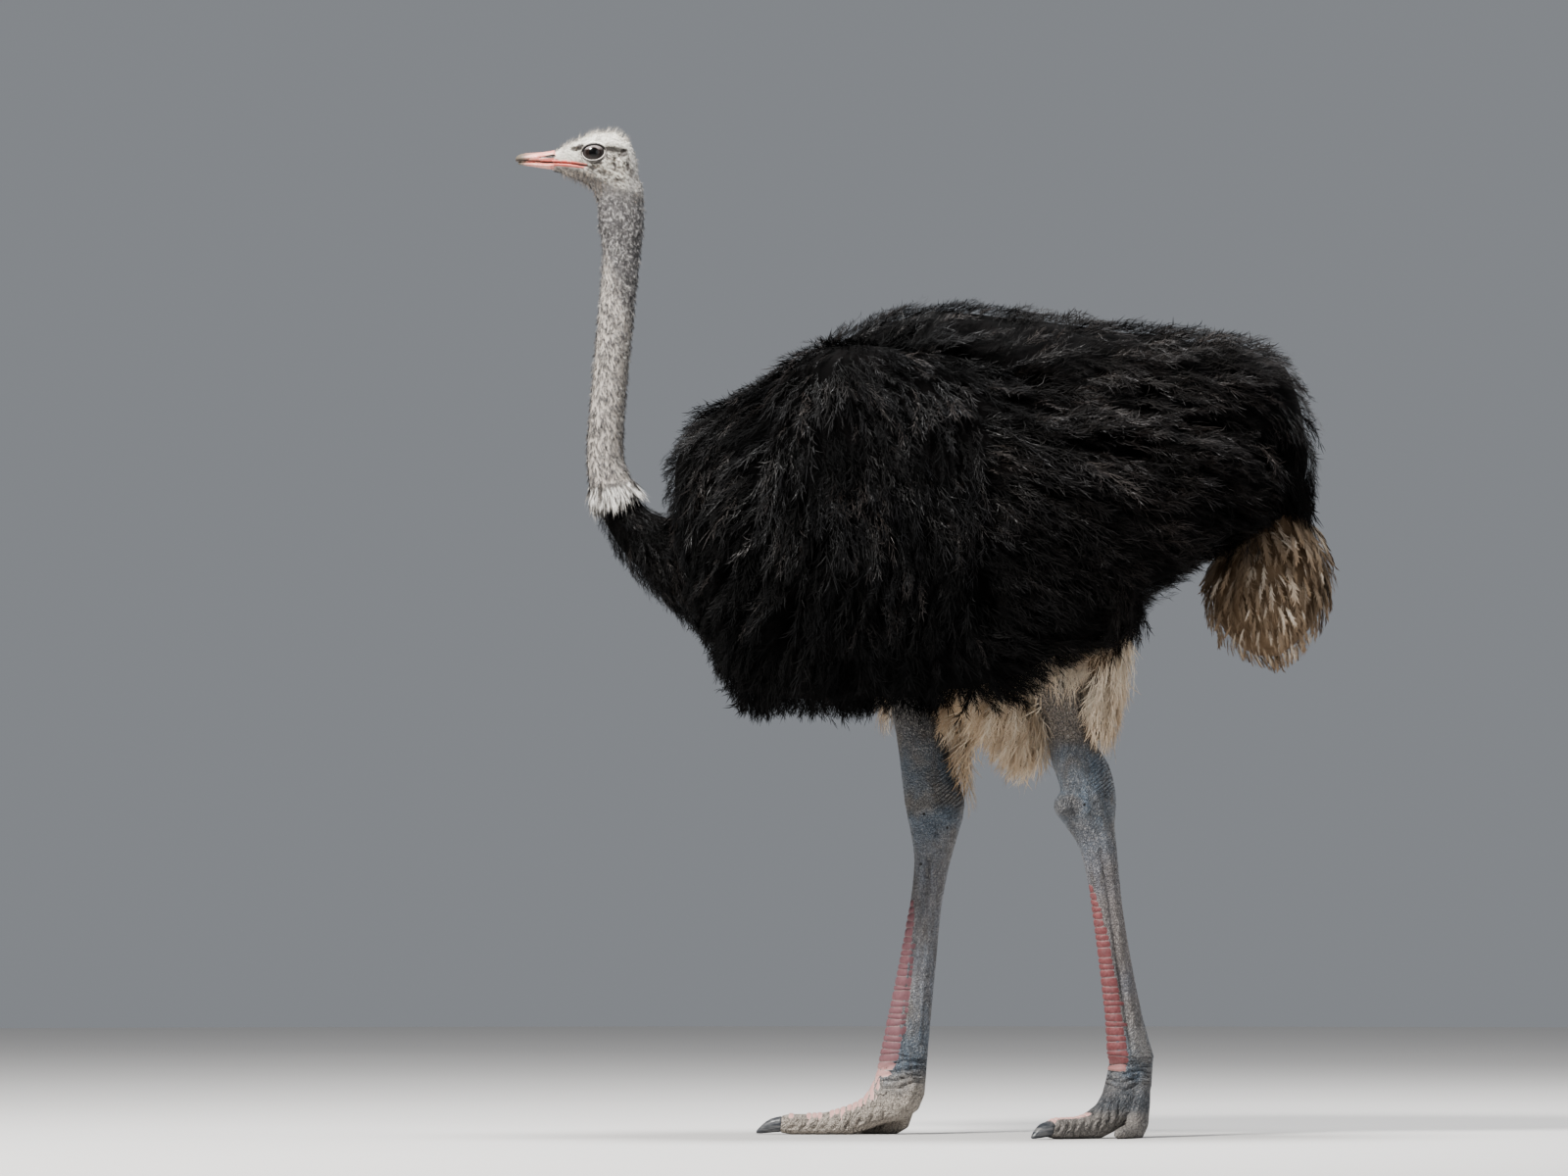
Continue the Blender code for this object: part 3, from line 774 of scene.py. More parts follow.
def carve(mesh, strokes, near=None, everyWay=False):  # raises or lowers the skin along polylines
    points, normals = pointsOf(mesh), normalsOf(mesh)
    facing = 1.0 if everyWay else step(np.abs(normals[:, 1]), 0.1, 0.5)
    if near is not None:
        facing = facing * near(points)
    for path, reach, height in strokes:
        share = np.exp(-((strokeDistance(points, path) / reach) ** 2))
        points += normals * (share * facing * height)[:, None]
    setPoints(mesh, points)


def middle(node):
    low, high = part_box(node)
    return (low + high) / 2


eyeAt = {side: middle("eye_" + side) for side in sides}
eyeRadius = (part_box("eye_left")[1].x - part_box("eye_left")[0].x) / 2

headStrokes = [  # path in x and z, reach, height
    ([(-0.6560, 1.8690), (-0.6340, 1.8820), (-0.6100, 1.8815), (-0.5880, 1.8700)], 0.0055, 0.0026),
    ([(-0.6640, 1.8640), (-0.6500, 1.8600)], 0.0065, -0.0036),
    ([(-0.5960, 1.8600), (-0.5760, 1.8560)], 0.0070, -0.0032),
    ([(-0.5680, 1.8395), (-0.5700, 1.8345)], 0.0085, 0.0042),
    ([(-0.5846, 1.8300), (-0.5820, 1.8400), (-0.5700, 1.8560), (-0.5610, 1.8600)], 0.0034, -0.0044),
    ([(-0.5600, 1.8270), (-0.5560, 1.8380)], 0.0034, -0.0036),
    ([(-0.6200, 1.8300), (-0.6050, 1.8240), (-0.5900, 1.8120)], 0.0042, -0.0024),
    ([(-0.6300, 1.8200), (-0.6050, 1.8120)], 0.0090, 0.0020),
    ([(-0.6956, 1.8368), (-0.6728, 1.8362), (-0.6522, 1.8336), (-0.6330, 1.8305)], 0.0020, -0.0034),
    ([(-0.7020, 1.8494), (-0.6950, 1.8498)], 0.0022, -0.0030),
    ([(-0.7000, 1.8270), (-0.6700, 1.8240), (-0.6450, 1.8150), (-0.6200, 1.7980)], 0.0040, -0.0020),
]
skullStrokes = [  # down adds to the crown and the nape, so the skin lies lower there
    ([(-0.6550, 1.8840), (-0.6250, 1.8970), (-0.5900, 1.8985), (-0.5650, 1.8880)], 0.0150, -0.0045),
    ([(-0.5600, 1.8850), (-0.5450, 1.8650), (-0.5350, 1.8400), (-0.5280, 1.8100)], 0.0140, -0.0075),
]
rightLegStrokes = [
    (
        [(0.0130, 0.530), (0.0040, 0.470), (-0.0130, 0.368), (-0.0300, 0.257), (-0.0330, 0.165)],
        0.0045,
        -0.0042,
    ),
    (
        [(0.0240, 0.560), (0.0220, 0.500), (0.0100, 0.380), (-0.0020, 0.270), (-0.0080, 0.180)],
        0.0065,
        0.0030,
    ),
    ([(0.0020, 0.520), (-0.0120, 0.420), (-0.0320, 0.280), (-0.0420, 0.190)], 0.0050, 0.0022),
    ([(-0.0200, 0.600), (0.0050, 0.622), (0.0300, 0.612)], 0.0120, 0.0048),
    ([(0.0450, 0.625), (0.0480, 0.600)], 0.0130, 0.0040),
    ([(0.0270, 0.650), (0.0230, 0.610), (0.0250, 0.570)], 0.0050, -0.0040),
    ([(-0.0300, 0.125), (-0.0200, 0.090), (-0.0300, 0.060)], 0.0090, 0.0050),
]
leftLegStrokes = [
    (
        [(0.3330, 0.540), (0.3460, 0.470), (0.3600, 0.368), (0.3800, 0.239), (0.3920, 0.165)],
        0.0045,
        -0.0040,
    ),
    ([(0.3420, 0.560), (0.3600, 0.450), (0.3740, 0.340), (0.3950, 0.220)], 0.0065, 0.0028),
    ([(0.2620, 0.632), (0.2640, 0.612)], 0.0110, 0.0080),
    ([(0.2900, 0.640), (0.3080, 0.622)], 0.0120, 0.0050),
    ([(0.2760, 0.650), (0.2830, 0.618), (0.2900, 0.596)], 0.0040, -0.0042),
    (
        [(0.3520, 0.720), (0.3440, 0.640), (0.3500, 0.590), (0.3660, 0.545), (0.3760, 0.520)],
        0.0045,
        -0.0028,
    ),
    ([(0.3250, 0.660), (0.3300, 0.615)], 0.0100, 0.0034),
]
hockKnob = ([(0.2560, 0.6300), (0.2600, 0.6180)], 0.0100, 0.0050)
foldPlan = {"count": 9, "gap": 0.0095, "reach": 0.0030, "depth": -0.0015, "stagger": 0.0045}
anklePlan = {"count": 4, "top": 0.137, "gap": 0.0125, "reach": 0.0030, "depth": -0.0046}
toeCreasePlan = {"count": 9, "first": 0.030, "gap": 0.0205, "reach": 0.0030, "depth": -0.0036}
toeSides = [(rightLegStrokes, -0.044, 1.0), (leftLegStrokes, 0.389, math.cos(math.radians(40)))]
for index in range(foldPlan["count"]):  # folds of slack skin behind and above the hocks
    drop = index * foldPlan["gap"]
    for strokes, x, z in ((rightLegStrokes, 0.020, 0.660), (leftLegStrokes, 0.308, 0.695)):
        ahead = foldPlan["stagger"] * (index * 5 % 4)
        path = [(x + ahead, z - drop), (x + 0.025, z + 0.015 - drop), (x + 0.052, z + 0.043 - drop)]
        for part in (path, [(x + ahead * 0.5 + 0.017, z + 0.010 - drop), *path[1:]], path[1:]):
            strokes.append((part, foldPlan["reach"], foldPlan["depth"] * (1.0 - 0.05 * index)))
for index in range(anklePlan["count"]):  # creases round the ankles, above the toes
    z = anklePlan["top"] - index * anklePlan["gap"]
    bow = 0.004 * index
    leftPath = [(0.345, z), (0.375, z - bow), (0.405, z + 0.004), (0.432, z)]
    rightPath = [(-0.075, z - 0.012), (-0.045, z - bow), (-0.015, z + 0.002), (0.008, z)]
    leftLegStrokes.append((leftPath, anklePlan["reach"], anklePlan["depth"]))
    rightLegStrokes.append((rightPath, anklePlan["reach"], anklePlan["depth"]))
for index in range(toeCreasePlan["count"]):  # short creases along the sides of the big toes
    ahead = toeCreasePlan["first"] + index * toeCreasePlan["gap"]
    lean = 0.010 + 0.002 * (index % 3)
    for strokes, joint, share in toeSides:
        x = joint - ahead * share
        high = 0.078 - 0.0052 * index
        path = [(x - lean * share, 0.012), (x, 0.5 * high), (x + 0.4 * lean, high)]
        strokes.append((path, toeCreasePlan["reach"], toeCreasePlan["depth"]))


skinPlan = {
    "headVoxel": 0.0021,
    "headShare": 0.55,
    "headDepth": 0.0022,
    "billEnd": (-0.6985, -0.690),  # the depth fades in behind the bill
    "socket": (0.0262, 0.0208),
    "socketDepth": 0.0320,
    "legVoxel": 0.0030,
    "legShare": 0.40,
    "legRounding": 7,
    "legRefill": 0.0006,
    "bodyVoxel": 0.014,
    "bodyDepth": 0.015,
    "creamVoxel": 0.013,
    "creamDepth": 0.024,
}
blackNodes = ["neck_base", "trunk_front", "trunk_rear", "rump_plumage"]
blackNodes += [f"{part}_{side}" for part in ("wing", "wing_plumes") for side in sides]
creamNodes = ["tail", "flank_left_front", "flank_left_rear", "flank_right_rear"]
headNodes = ["head", "neck_upper", "neck_lower"]
legNodes = [f"{part}_{side}" for part in ("shank", "tarsus", "foot", "outer_toe") for side in sides]
collarAt = np.array([-0.58, 0.0, 1.207])


def bodyDepth(point):
    far = np.linalg.norm(point - collarAt)
    edge = max(float(step(point[2], 1.42, 1.50)), float(step(point[0], 0.60, 0.70)))
    return min(skinPlan["bodyDepth"] * (1 - 0.55 * edge), 0.004 + 0.15 * far)


def socketed(points):  # the skin round each eye lies behind its lids
    dx = (points[:, 0] - eyeAt["left"].x) / skinPlan["socket"][0]
    dz = (points[:, 2] - eyeAt["left"].z) / skinPlan["socket"][1]
    away = dx * dx + dz * dz
    wide = np.abs(points[:, 1])
    deepest = skinPlan["socketDepth"] + 0.012 * step(away, 0.72, 1.0)
    points[:, 1] = np.sign(points[:, 1]) * np.where(away < 1.0, np.minimum(wide, deepest), wide)
    return points


def headSkin():
    mesh = fused(cadCopy(headNodes), skinPlan["headVoxel"], 6)
    points, normals = pointsOf(mesh), normalsOf(mesh)
    points -= normals * (skinPlan["headDepth"] * step(points[:, 0], *skinPlan["billEnd"]))[:, None]
    setPoints(mesh, points)
    carve(mesh, headStrokes, lambda p: step(p[:, 2], 1.74, 1.77))
    carve(mesh, skullStrokes, None, True)
    setPoints(mesh, socketed(pointsOf(mesh)))
    return thinned(mesh, skinPlan["headShare"], lambda p: 1.0 - 0.9 * step(p[:, 2], 1.70, 1.76))


def legSkin():
    mesh = fused(cadCopy(legNodes), skinPlan["legVoxel"], 4)
    weights = step(pointsOf(mesh)[:, 2], 0.14, 0.22)
    smoothing = {"factor": 0.5, "iterations": skinPlan["legRounding"], "vertex_group": "share"}
    mesh = applied(mesh, [("SMOOTH", smoothing)], weights)
    setPoints(mesh, pointsOf(mesh) + normalsOf(mesh) * (skinPlan["legRefill"] * weights)[:, None])
    carve(mesh, rightLegStrokes, lambda p: (p[:, 1] > 0).astype(float))
    carve(mesh, leftLegStrokes, lambda p: (p[:, 1] < 0).astype(float))
    carve(mesh, [hockKnob], lambda p: (p[:, 1] < 0).astype(float), True)
    points = pointsOf(mesh)
    points[:, 2] = np.maximum(points[:, 2], 0.0)
    setPoints(mesh, points)
    return thinned(mesh, skinPlan["legShare"])


def waves(points, length, seed):  # a smooth random field, about -1 to 1
    draw = np.random.default_rng(seed)
    total = np.zeros(len(points))
    for _ in range(7):
        turn = unit(draw.normal(size=3)) * math.tau / (length * draw.uniform(0.7, 1.4))
        total += np.sin(points @ turn + draw.uniform(0, math.tau))
    return total / 3.2


shoulder = {"x": -0.10, "y": 0.24, "z": 1.27}
valleys = [  # furrows between the wing, the back and the rump
    ([(0.16, 1.415), (0.28, 1.375), (0.385, 1.33), (0.52, 1.24), (0.644, 1.14)], 0.024, -0.030),
    ([(0.0500, 1.4700), (0.1600, 1.4150)], 0.020, -0.020),
    ([(-0.3300, 1.1200), (-0.3700, 1.0300), (-0.3600, 0.9300)], 0.022, -0.016),
]
lockPlan = {"count": 29, "depth": 0.020, "lumps": 0.010}


def lockPhase(points):  # grows round the shoulder, by half a turn for each lock
    away = points[:, [0, 2]] - (shoulder["x"], shoulder["z"])
    around = np.arctan2(away[:, 0], -away[:, 1])  # 0 straight below the shoulder
    return around * lockPlan["count"] / 2 + waves(points, 0.30, 3) * 1.5, around


def lockMask(points, normals):  # the locks show on the lower half of each wing
    away = points[:, [0, 2]] - (shoulder["x"], shoulder["z"])
    below = step(-away[:, 1], 0.02, 0.16) * step(np.linalg.norm(away, axis=1), 0.12, 0.30)
    ahead = step(points[:, 0], -0.46, -0.38) * (1 - step(points[:, 0], 0.25, 0.45))
    return below * ahead * step(np.abs(normals[:, 1]), 0.2, 0.6)


def lockGap(points, normals):  # 1 in the furrow between two locks, 0 on a lock
    phase, _ = lockPhase(points)
    return (1 - np.abs(np.sin(phase)) ** 0.6) * lockMask(points, normals)


pockets = [  # dark hollows: middle in x and z, half length, half height, tilt in degrees
    (0.0850, 1.4660, 0.064, 0.016, -26),
    (0.2200, 1.4160, 0.052, 0.014, -30),
    (0.4280, 1.3850, 0.024, 0.042, 0),
    (0.5450, 1.3380, 0.080, 0.012, -4),
    (0.3650, 1.2900, 0.078, 0.015, -8),
    (0.6650, 1.2950, 0.040, 0.026, -30),
    (0.6720, 1.1860, 0.030, 0.018, -40),
    (-0.1950, 1.0940, 0.034, 0.018, 62),
    (-0.0530, 1.1060, 0.030, 0.008, 88),
    (-0.2420, 0.9700, 0.060, 0.016, 70),
    (-0.0900, 0.9600, 0.050, 0.014, 80),
    (0.1200, 1.0200, 0.060, 0.014, -75),
    (0.2900, 1.1000, 0.060, 0.012, -60),
    (-0.4150, 1.2050, 0.040, 0.012, 55),
]


def pocketed(points):  # 1 in the middle of a hollow, 0 outside
    found = np.zeros(len(points))
    for x, z, long, high, tilt in pockets:
        turn = math.radians(tilt)
        dx, dz = points[:, 0] - x, points[:, 2] - z
        a = (dx * math.cos(turn) + dz * math.sin(turn)) / long
        b = (dz * math.cos(turn) - dx * math.sin(turn)) / high
        found = np.maximum(found, 1 - step(a * a + b * b, 0.4, 1.2))
    return found * step(np.abs(points[:, 1]), 0.02, 0.05)


def bodySkin():
    mesh = fused(cadCopy(blackNodes), skinPlan["bodyVoxel"], 4)
    sunk(mesh, bodyDepth)
    carve(mesh, valleys)
    points, normals = pointsOf(mesh), normalsOf(mesh)
    drop = lockGap(points, normals) * lockPlan["depth"]
    fromCollar = step(np.linalg.norm(points - collarAt, axis=1), 0.12, 0.30)
    drop += (0.5 + 0.5 * waves(points, 0.11, 4)) * lockPlan["lumps"] * fromCollar
    drop += pocketed(points) * step(np.abs(normals[:, 1]), 0.1, 0.4) * 0.024
    setPoints(mesh, points - normals * drop[:, None])
    return mesh


def creamSkin():
    mesh = fused(cadCopy(creamNodes), skinPlan["creamVoxel"], 3)
    sunk(mesh, lambda point: skinPlan["creamDepth"] * (0.5 if point[0] > 0.5 else 1.0))
    return mesh


# near black and dark brown under the plumage, so that the gaps between tufts read dark: painted shade
underTones = {
    "black": ((0.0012, 0.0012, 0.0012), (0.003, 0.0025, 0.0025)),
    "cream": ((0.090, 0.060, 0.037), (0.150, 0.105, 0.068)),
}


def buildSkin():
    islands = [
        (headSkin(), headSkinFinish()),
        (legSkin(), legSkinFinish()),
        (bodySkin(), plainSkinFinish("darkUnderSkin", *underTones["black"])),
        (creamSkin(), plainSkinFinish("creamUnderSkin", *underTones["cream"])),
    ]
    bm = bmesh.new()
    kinds = []
    for index, (mesh, _) in enumerate(islands):
        bm.from_mesh(mesh)
        kinds += [index] * (len(bm.faces) - len(kinds))
    for face, kind in zip(bm.faces, kinds):
        face.material_index = kind
        face.smooth = True
    mesh = bpy.data.meshes.new("skin")
    bm.to_mesh(mesh)
    bm.free()
    for _, material in islands:
        mesh.materials.append(material)
    skin = placed("skin", mesh, "leg_skin")
    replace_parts(skin, *headNodes, *legNodes, *blackNodes, *creamNodes)
    unwrap(skin)
    return skin


def unwrap(made):
    made.data.uv_layers.new(name="OFBake")
    bpy.context.view_layer.objects.active = made
    made.select_set(True)
    bpy.ops.object.mode_set(mode="EDIT")
    bpy.ops.mesh.select_all(action="SELECT")
    bpy.ops.uv.smart_project(angle_limit=math.radians(66), island_margin=0.001)
    bpy.ops.object.mode_set(mode="OBJECT")
    made.select_set(False)


skin = buildSkin()
print("skin", len(skin.data.polygons), "faces")


def treeOf(*pieces):
    points, faces = [], []
    for piece in pieces:
        faces += [[len(points) + i for i in p.vertices] for p in piece.data.polygons]
        points += [v.co for v in piece.data.vertices]
    return BVHTree.FromPolygons(points, faces)


def onSkin(tree, start, towards, lift):  # where a line from start meets the skin, lifted off it
    hit, normal, _, _ = tree.ray_cast(start, towards)
    return (hit + normal * lift) if hit else None


tree = treeOf(skin)


eyePlan = {"around": 64, "rings": 40}


def buildEye(side):
    upright = Matrix.Rotation(math.radians(90), 3, "X")
    around, rings = eyePlan["around"], eyePlan["rings"]
    bm = bmesh.new()
    bmesh.ops.create_uvsphere(bm, u_segments=around, v_segments=rings, radius=eyeRadius)
    bmesh.ops.rotate(bm, verts=bm.verts, cent=(0, 0, 0), matrix=upright)
    bmesh.ops.translate(bm, verts=bm.verts, vec=eyeAt[side])
    eye = joined("eyeball_" + side, bm, eyeMaterial, "eye")
    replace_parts(eye, "eye_" + side)


lidPlan = {
    "halfWidth": 0.0203,
    "halfHeight": 0.0138,
    "outerWidth": 0.0276,
    "outerHeight": 0.0218,
    "raise": 0.0006,
    "rings": 12,
    "around": 96,
    "tilt": math.radians(-6),
    "offEye": 0.0009,
    "swell": 0.0013,
    "upperSwell": 0.0014,
    "pleats": 0.0005,
    "pleatCount": 24.0,
    "sunk": -0.0009,
    "tuck": 0.955,
}


def lidPoint(side, angle, share):  # share runs from 0 at the slit to 1 on the cheek
    plan = lidPlan
    centre = eyeAt[side]

    def flatAt(amount):
        wide = plan["halfWidth"] + (plan["outerWidth"] - plan["halfWidth"]) * amount
        high = plan["halfHeight"] + (plan["outerHeight"] - plan["halfHeight"]) * amount
        dx, dz = wide * math.cos(angle), high * math.sin(angle) + plan["raise"]
        turn = plan["tilt"]
        return dx * math.cos(turn) + dz * math.sin(turn), dz * math.cos(turn) - dx * math.sin(turn)

    dx, dz = flatAt(share)
    slit = flatAt(0.0)
    rim = flatAt(1.0)
    reach = eyeRadius + plan["offEye"]
    onEye = abs(centre.y) + math.sqrt(max(reach**2 - slit[0] ** 2 - slit[1] ** 2, 0.0))
    start = Vector((centre.x + rim[0], sides[side] * 0.12, centre.z + rim[1]))
    found = onSkin(tree, start, Vector((0, -sides[side], 0)), plan["sunk"])
    blend = share * share * (3 - 2 * share)
    y = onEye * (1 - blend) + abs(found.y) * blend
    hump = math.sin(math.pi * min(share * 1.15, 1.0)) ** 0.8
    y += hump * (plan["swell"] + plan["upperSwell"] * max(math.sin(angle), 0.0))
    y += plan["pleats"] * math.sin(share * plan["pleatCount"] + 0.5 * math.sin(angle * 3)) * hump
    return Vector((centre.x + dx, sides[side] * y, centre.z + dz))


def neighbours(v):
    return [e.other_vert(v) for e in v.link_edges]


def buildLids(side):
    bm = bmesh.new()
    around = lidPlan["around"]
    bmesh.ops.create_circle(bm, segments=around, radius=1.0)
    bm.verts.ensure_lookup_table()
    ring = list(bm.verts)
    angles = [math.atan2(v.co.y, v.co.x) for v in ring]
    uv = bm.loops.layers.uv.new("Lid")
    shares = {}
    for v, angle in zip(ring, angles):  # the first ring is tucked behind the slit's edge
        edge = lidPoint(side, angle, 0.0)
        v.co = eyeAt[side] + (edge - eyeAt[side]) * lidPlan["tuck"]
        shares[v] = (angle, 0.0)
    edges = list(bm.edges)
    for index in range(lidPlan["rings"] + 1):
        share = index / lidPlan["rings"]
        made = bmesh.ops.extrude_edge_only(bm, edges=edges)["geom"]
        edges = [g for g in made if isinstance(g, bmesh.types.BMEdge) and g.is_boundary]
        fresh = {v for edge in edges for v in edge.verts}
        for v in fresh:
            old = next(o for o in neighbours(v) if o not in fresh)
            angle = shares[old][0]
            v.co = lidPoint(side, angle, share)
            shares[v] = (angle, share)
    for face in bm.faces:
        for loop in face.loops:
            angle, share = shares[loop.vert]
            loop[uv].uv = (angle / math.tau, share)
    outward = sum(face.normal.y * face.calc_area() for face in bm.faces if not face.normal_update())
    if outward * sides[side] < 0:
        bmesh.ops.reverse_faces(bm, faces=bm.faces)
    joined("lids_" + side, bm, lidMaterial, "head_down")


eyeMaterial = eyeFinish()
lidMaterial = lidFinish()
for side in sides:
    buildEye(side)
    buildLids(side)
print("eyes and lids")


shinPlans = {
    "right": {"top": (0.0215, 0.107, 0.560), "foot": (-0.0400, 0.110, 0.118), "heading": 0.0},
    "left": {"top": (0.3220, -0.117, 0.560), "foot": (0.3905, -0.120, 0.150), "heading": 40.0},
}
billStrokes = {
    "bill_upper": [
        ([(-0.7240, 1.8466), (-0.7140, 1.8478), (-0.6960, 1.8496)], 0.0021, -0.0017),
        ([(-0.7640, 1.8416), (-0.7095, 1.8388), (-0.6960, 1.8382)], 0.0012, -0.0012),
        ([(-0.7300, 1.8500), (-0.7160, 1.8525), (-0.7000, 1.8560)], 0.0030, 0.0006),
        ([(-0.7420, 1.8440), (-0.7500, 1.8400), (-0.7530, 1.8370)], 0.0014, -0.0010),
    ],
    "bill_lower": [
        ([(-0.7640, 1.8416), (-0.7095, 1.8388), (-0.6960, 1.8382)], 0.0012, -0.0012),
        ([(-0.7600, 1.8320), (-0.7300, 1.8300), (-0.7020, 1.8290)], 0.0016, -0.0007),
    ],
}
gapePlan = {
    "upper": [(-0.722, 1.8408), (-0.700, 1.8400), (-0.6728, 1.8393), (-0.653, 1.8366), (-0.634, 1.8330)],
    "lower": [(-0.716, 1.8342), (-0.700, 1.8338), (-0.6760, 1.8331), (-0.656, 1.8306), (-0.640, 1.8276)],
    "radius": 0.0019,
    "thinnest": 0.35,
    "sides": 10,
    "steps": 40,
}


def curvePoints(points, steps):  # a smooth line through points
    ends = [points[0] * 2 - points[1], *points, points[-1] * 2 - points[-2]]
    found = []
    for index in range(steps + 1):
        t = index / steps * (len(points) - 1)
        k = min(int(t), len(points) - 2)
        u = t - k
        a, b, c, d = ends[k : k + 4]
        bend = (2 * a - 5 * b + 4 * c - d) * u**2
        found.append(0.5 * (2 * b + (c - a) * u + bend + (3 * b - a - 3 * c + d) * u**3))
    return found


def swept(bm, path, radii, count):  # a round bar along a path, closed at both ends
    ring = bmesh.ops.create_circle(bm, cap_ends=False, segments=count, radius=1.0)["verts"]
    shape = [Vector(v.co) for v in ring]
    edges = list({e for v in ring for e in v.link_edges})
    first = list(edges)
    for index, (at, radius) in enumerate(zip(path, radii)):
        ahead = path[min(index + 1, len(path) - 1)] - path[max(index - 1, 0)]
        turn = ahead.to_track_quat("Z", "Y").to_matrix()
        if index:
            made = bmesh.ops.extrude_edge_only(bm, edges=edges)["geom"]
            fresh = {g for g in made if isinstance(g, bmesh.types.BMVert)}
            edges = [g for g in made if isinstance(g, bmesh.types.BMEdge) and fresh.issuperset(g.verts)]
            order = {v: i for i, v in enumerate(ring)}
            places = {v: order[o] for v in fresh for o in neighbours(v) if o in order}
            ring = sorted(fresh, key=places.get)
        for v, co in zip(ring, shape):
            v.co = at + turn @ (co * radius)
    for rim in (first, edges):
        bmesh.ops.contextual_create(bm, geom=rim)


def buildBill(node):
    down = -0.0022 if node == "bill_upper" else 0.0015
    mesh = fused(cadCopy([node], (0.006, 0, down)), 0.0009, 5)
    carve(mesh, billStrokes[node])
    mesh.materials.clear()
    mesh.materials.append(billMaterial)
    mesh.shade_smooth()
    made = placed(node.replace("bill", "horn"), mesh, "bill_horn")
    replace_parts(made, node)
    return made


def gapeRadii(count):  # thin at both ends
    humps = [math.sin(math.pi * (0.08 + 0.84 * index / (count - 1))) for index in range(count)]
    least = gapePlan["thinnest"]
    return [gapePlan["radius"] * (least + (1 - least) * hump) for hump in humps]


def buildGape(side):
    bm = bmesh.new()
    for edge in ("upper", "lower"):
        path = []
        for flat in curvePoints([Vector((x, 0, z)) for x, z in gapePlan[edge]], gapePlan["steps"]):
            start = Vector((flat.x, sides[side] * 0.12, flat.z))
            found = onSkin(faceTree, start, Vector((0, -sides[side], 0)), -0.0002)
            if found:
                path.append(found)
        swept(bm, path, gapeRadii(len(path)), gapePlan["sides"])
    bmesh.ops.recalc_face_normals(bm, faces=bm.faces)
    joined("gape_" + side, bm, gapeMaterial, "bill_horn")


def headingOf(side):  # the way the big toe points
    angle = math.radians(shinPlans[side]["heading"])
    return Vector((-math.cos(angle), -math.sin(angle), 0))


def buildClaw(side):
    mesh = fused(cadCopy(["claw_" + side], headingOf(side) * -0.007), 0.0011, 5)
    points = pointsOf(mesh)
    points[:, 2] = np.maximum(points[:, 2], 0.0)
    setPoints(mesh, points)
    mesh.materials.clear()
    mesh.materials.append(clawMaterial)
    mesh.shade_smooth()
    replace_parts(placed("nail_" + side, mesh, "claw_horn"), "claw_" + side)


billMaterial = billFinish()
gapeMaterial = hornFinish("gapeSkin", (0.62, 0.13, 0.10), (0.70, 0.27, 0.21), (0.3, 1.0, 1.0))
clawMaterial = hornFinish("clawHorn", (0.040, 0.044, 0.052), (0.155, 0.155, 0.155), (0.25, 0.25, 1.0))
faceTree = treeOf(skin, buildBill("bill_upper"), buildBill("bill_lower"))
for side in sides:
    buildGape(side)
    buildClaw(side)
print("bill, gape and claws")


scutePlan = {
    "left": {"from": 0.205, "to": 1.06, "plates": 26, "turn": 0},
    "right": {"from": 0.262, "to": 1.02, "plates": 25, "turn": 24},
    "spread": [(0.0, 10), (0.12, 30), (0.32, 48), (0.60, 58), (0.88, 52), (1.0, 30)],  # degrees
    "fill": 0.965,
    "thick": 0.0016,
    "crown": 0.0010,
    "across": 8,
    "along": 4,
}
toePlan = {
    "left": {"from": 0.105, "to": 0.215, "plates": 9, "halfWidth": 0.0090, "aside": -0.0020},
    "right": {"from": 0.014, "to": 0.222, "plates": 19, "halfWidth": 0.0180, "aside": -0.0075},
}
toeRoots = {"right": Vector((-0.044, 0.110, 0.0)), "left": Vector((0.389, -0.120, 0.0))}


def plate(bm, uv, place, thick, crown):  # one scute: place(across, along) gives its points on the skin
    wide, high = scutePlan["across"], scutePlan["along"]
    made = bmesh.ops.create_grid(bm, x_segments=wide, y_segments=high, size=0.5)["verts"]
    faces = {f for v in made for f in v.link_faces}
    spot = {v: (v.co.x + 0.5, v.co.y + 0.5) for v in made}
    found = {}
    for v, (a, b) in spot.items():  # the ends are rounded off
        narrow = 1.0 - 0.34 * abs(2 * a - 1) ** 6
        found[v] = place(a, 0.5 + (b - 0.5) * narrow)
    if any(at is None for at, _ in found.values()):
        bmesh.ops.delete(bm, geom=made, context="VERTS")
        return
    for v in made:
        a, b = spot[v]
        at, out = found[v]
        edge = min(1.0, 6.0 * min(a, 1 - a, 0.6 * b + 0.08, 0.6 * (1 - b) + 0.08))
        rise = thick + crown * math.sin(math.pi * a) ** 0.5 * math.sin(math.pi * b) ** 0.6
        v.co = at + out * (rise * edge - 0.0008 * (1 - edge))
    for face in faces:
        for loop in face.loops:
            loop[uv].uv = spot[loop.vert]


def castOn(start, towards):
    hit, normal, _, _ = tree.ray_cast(start, towards)
    return (hit, -towards) if hit else (None, None)


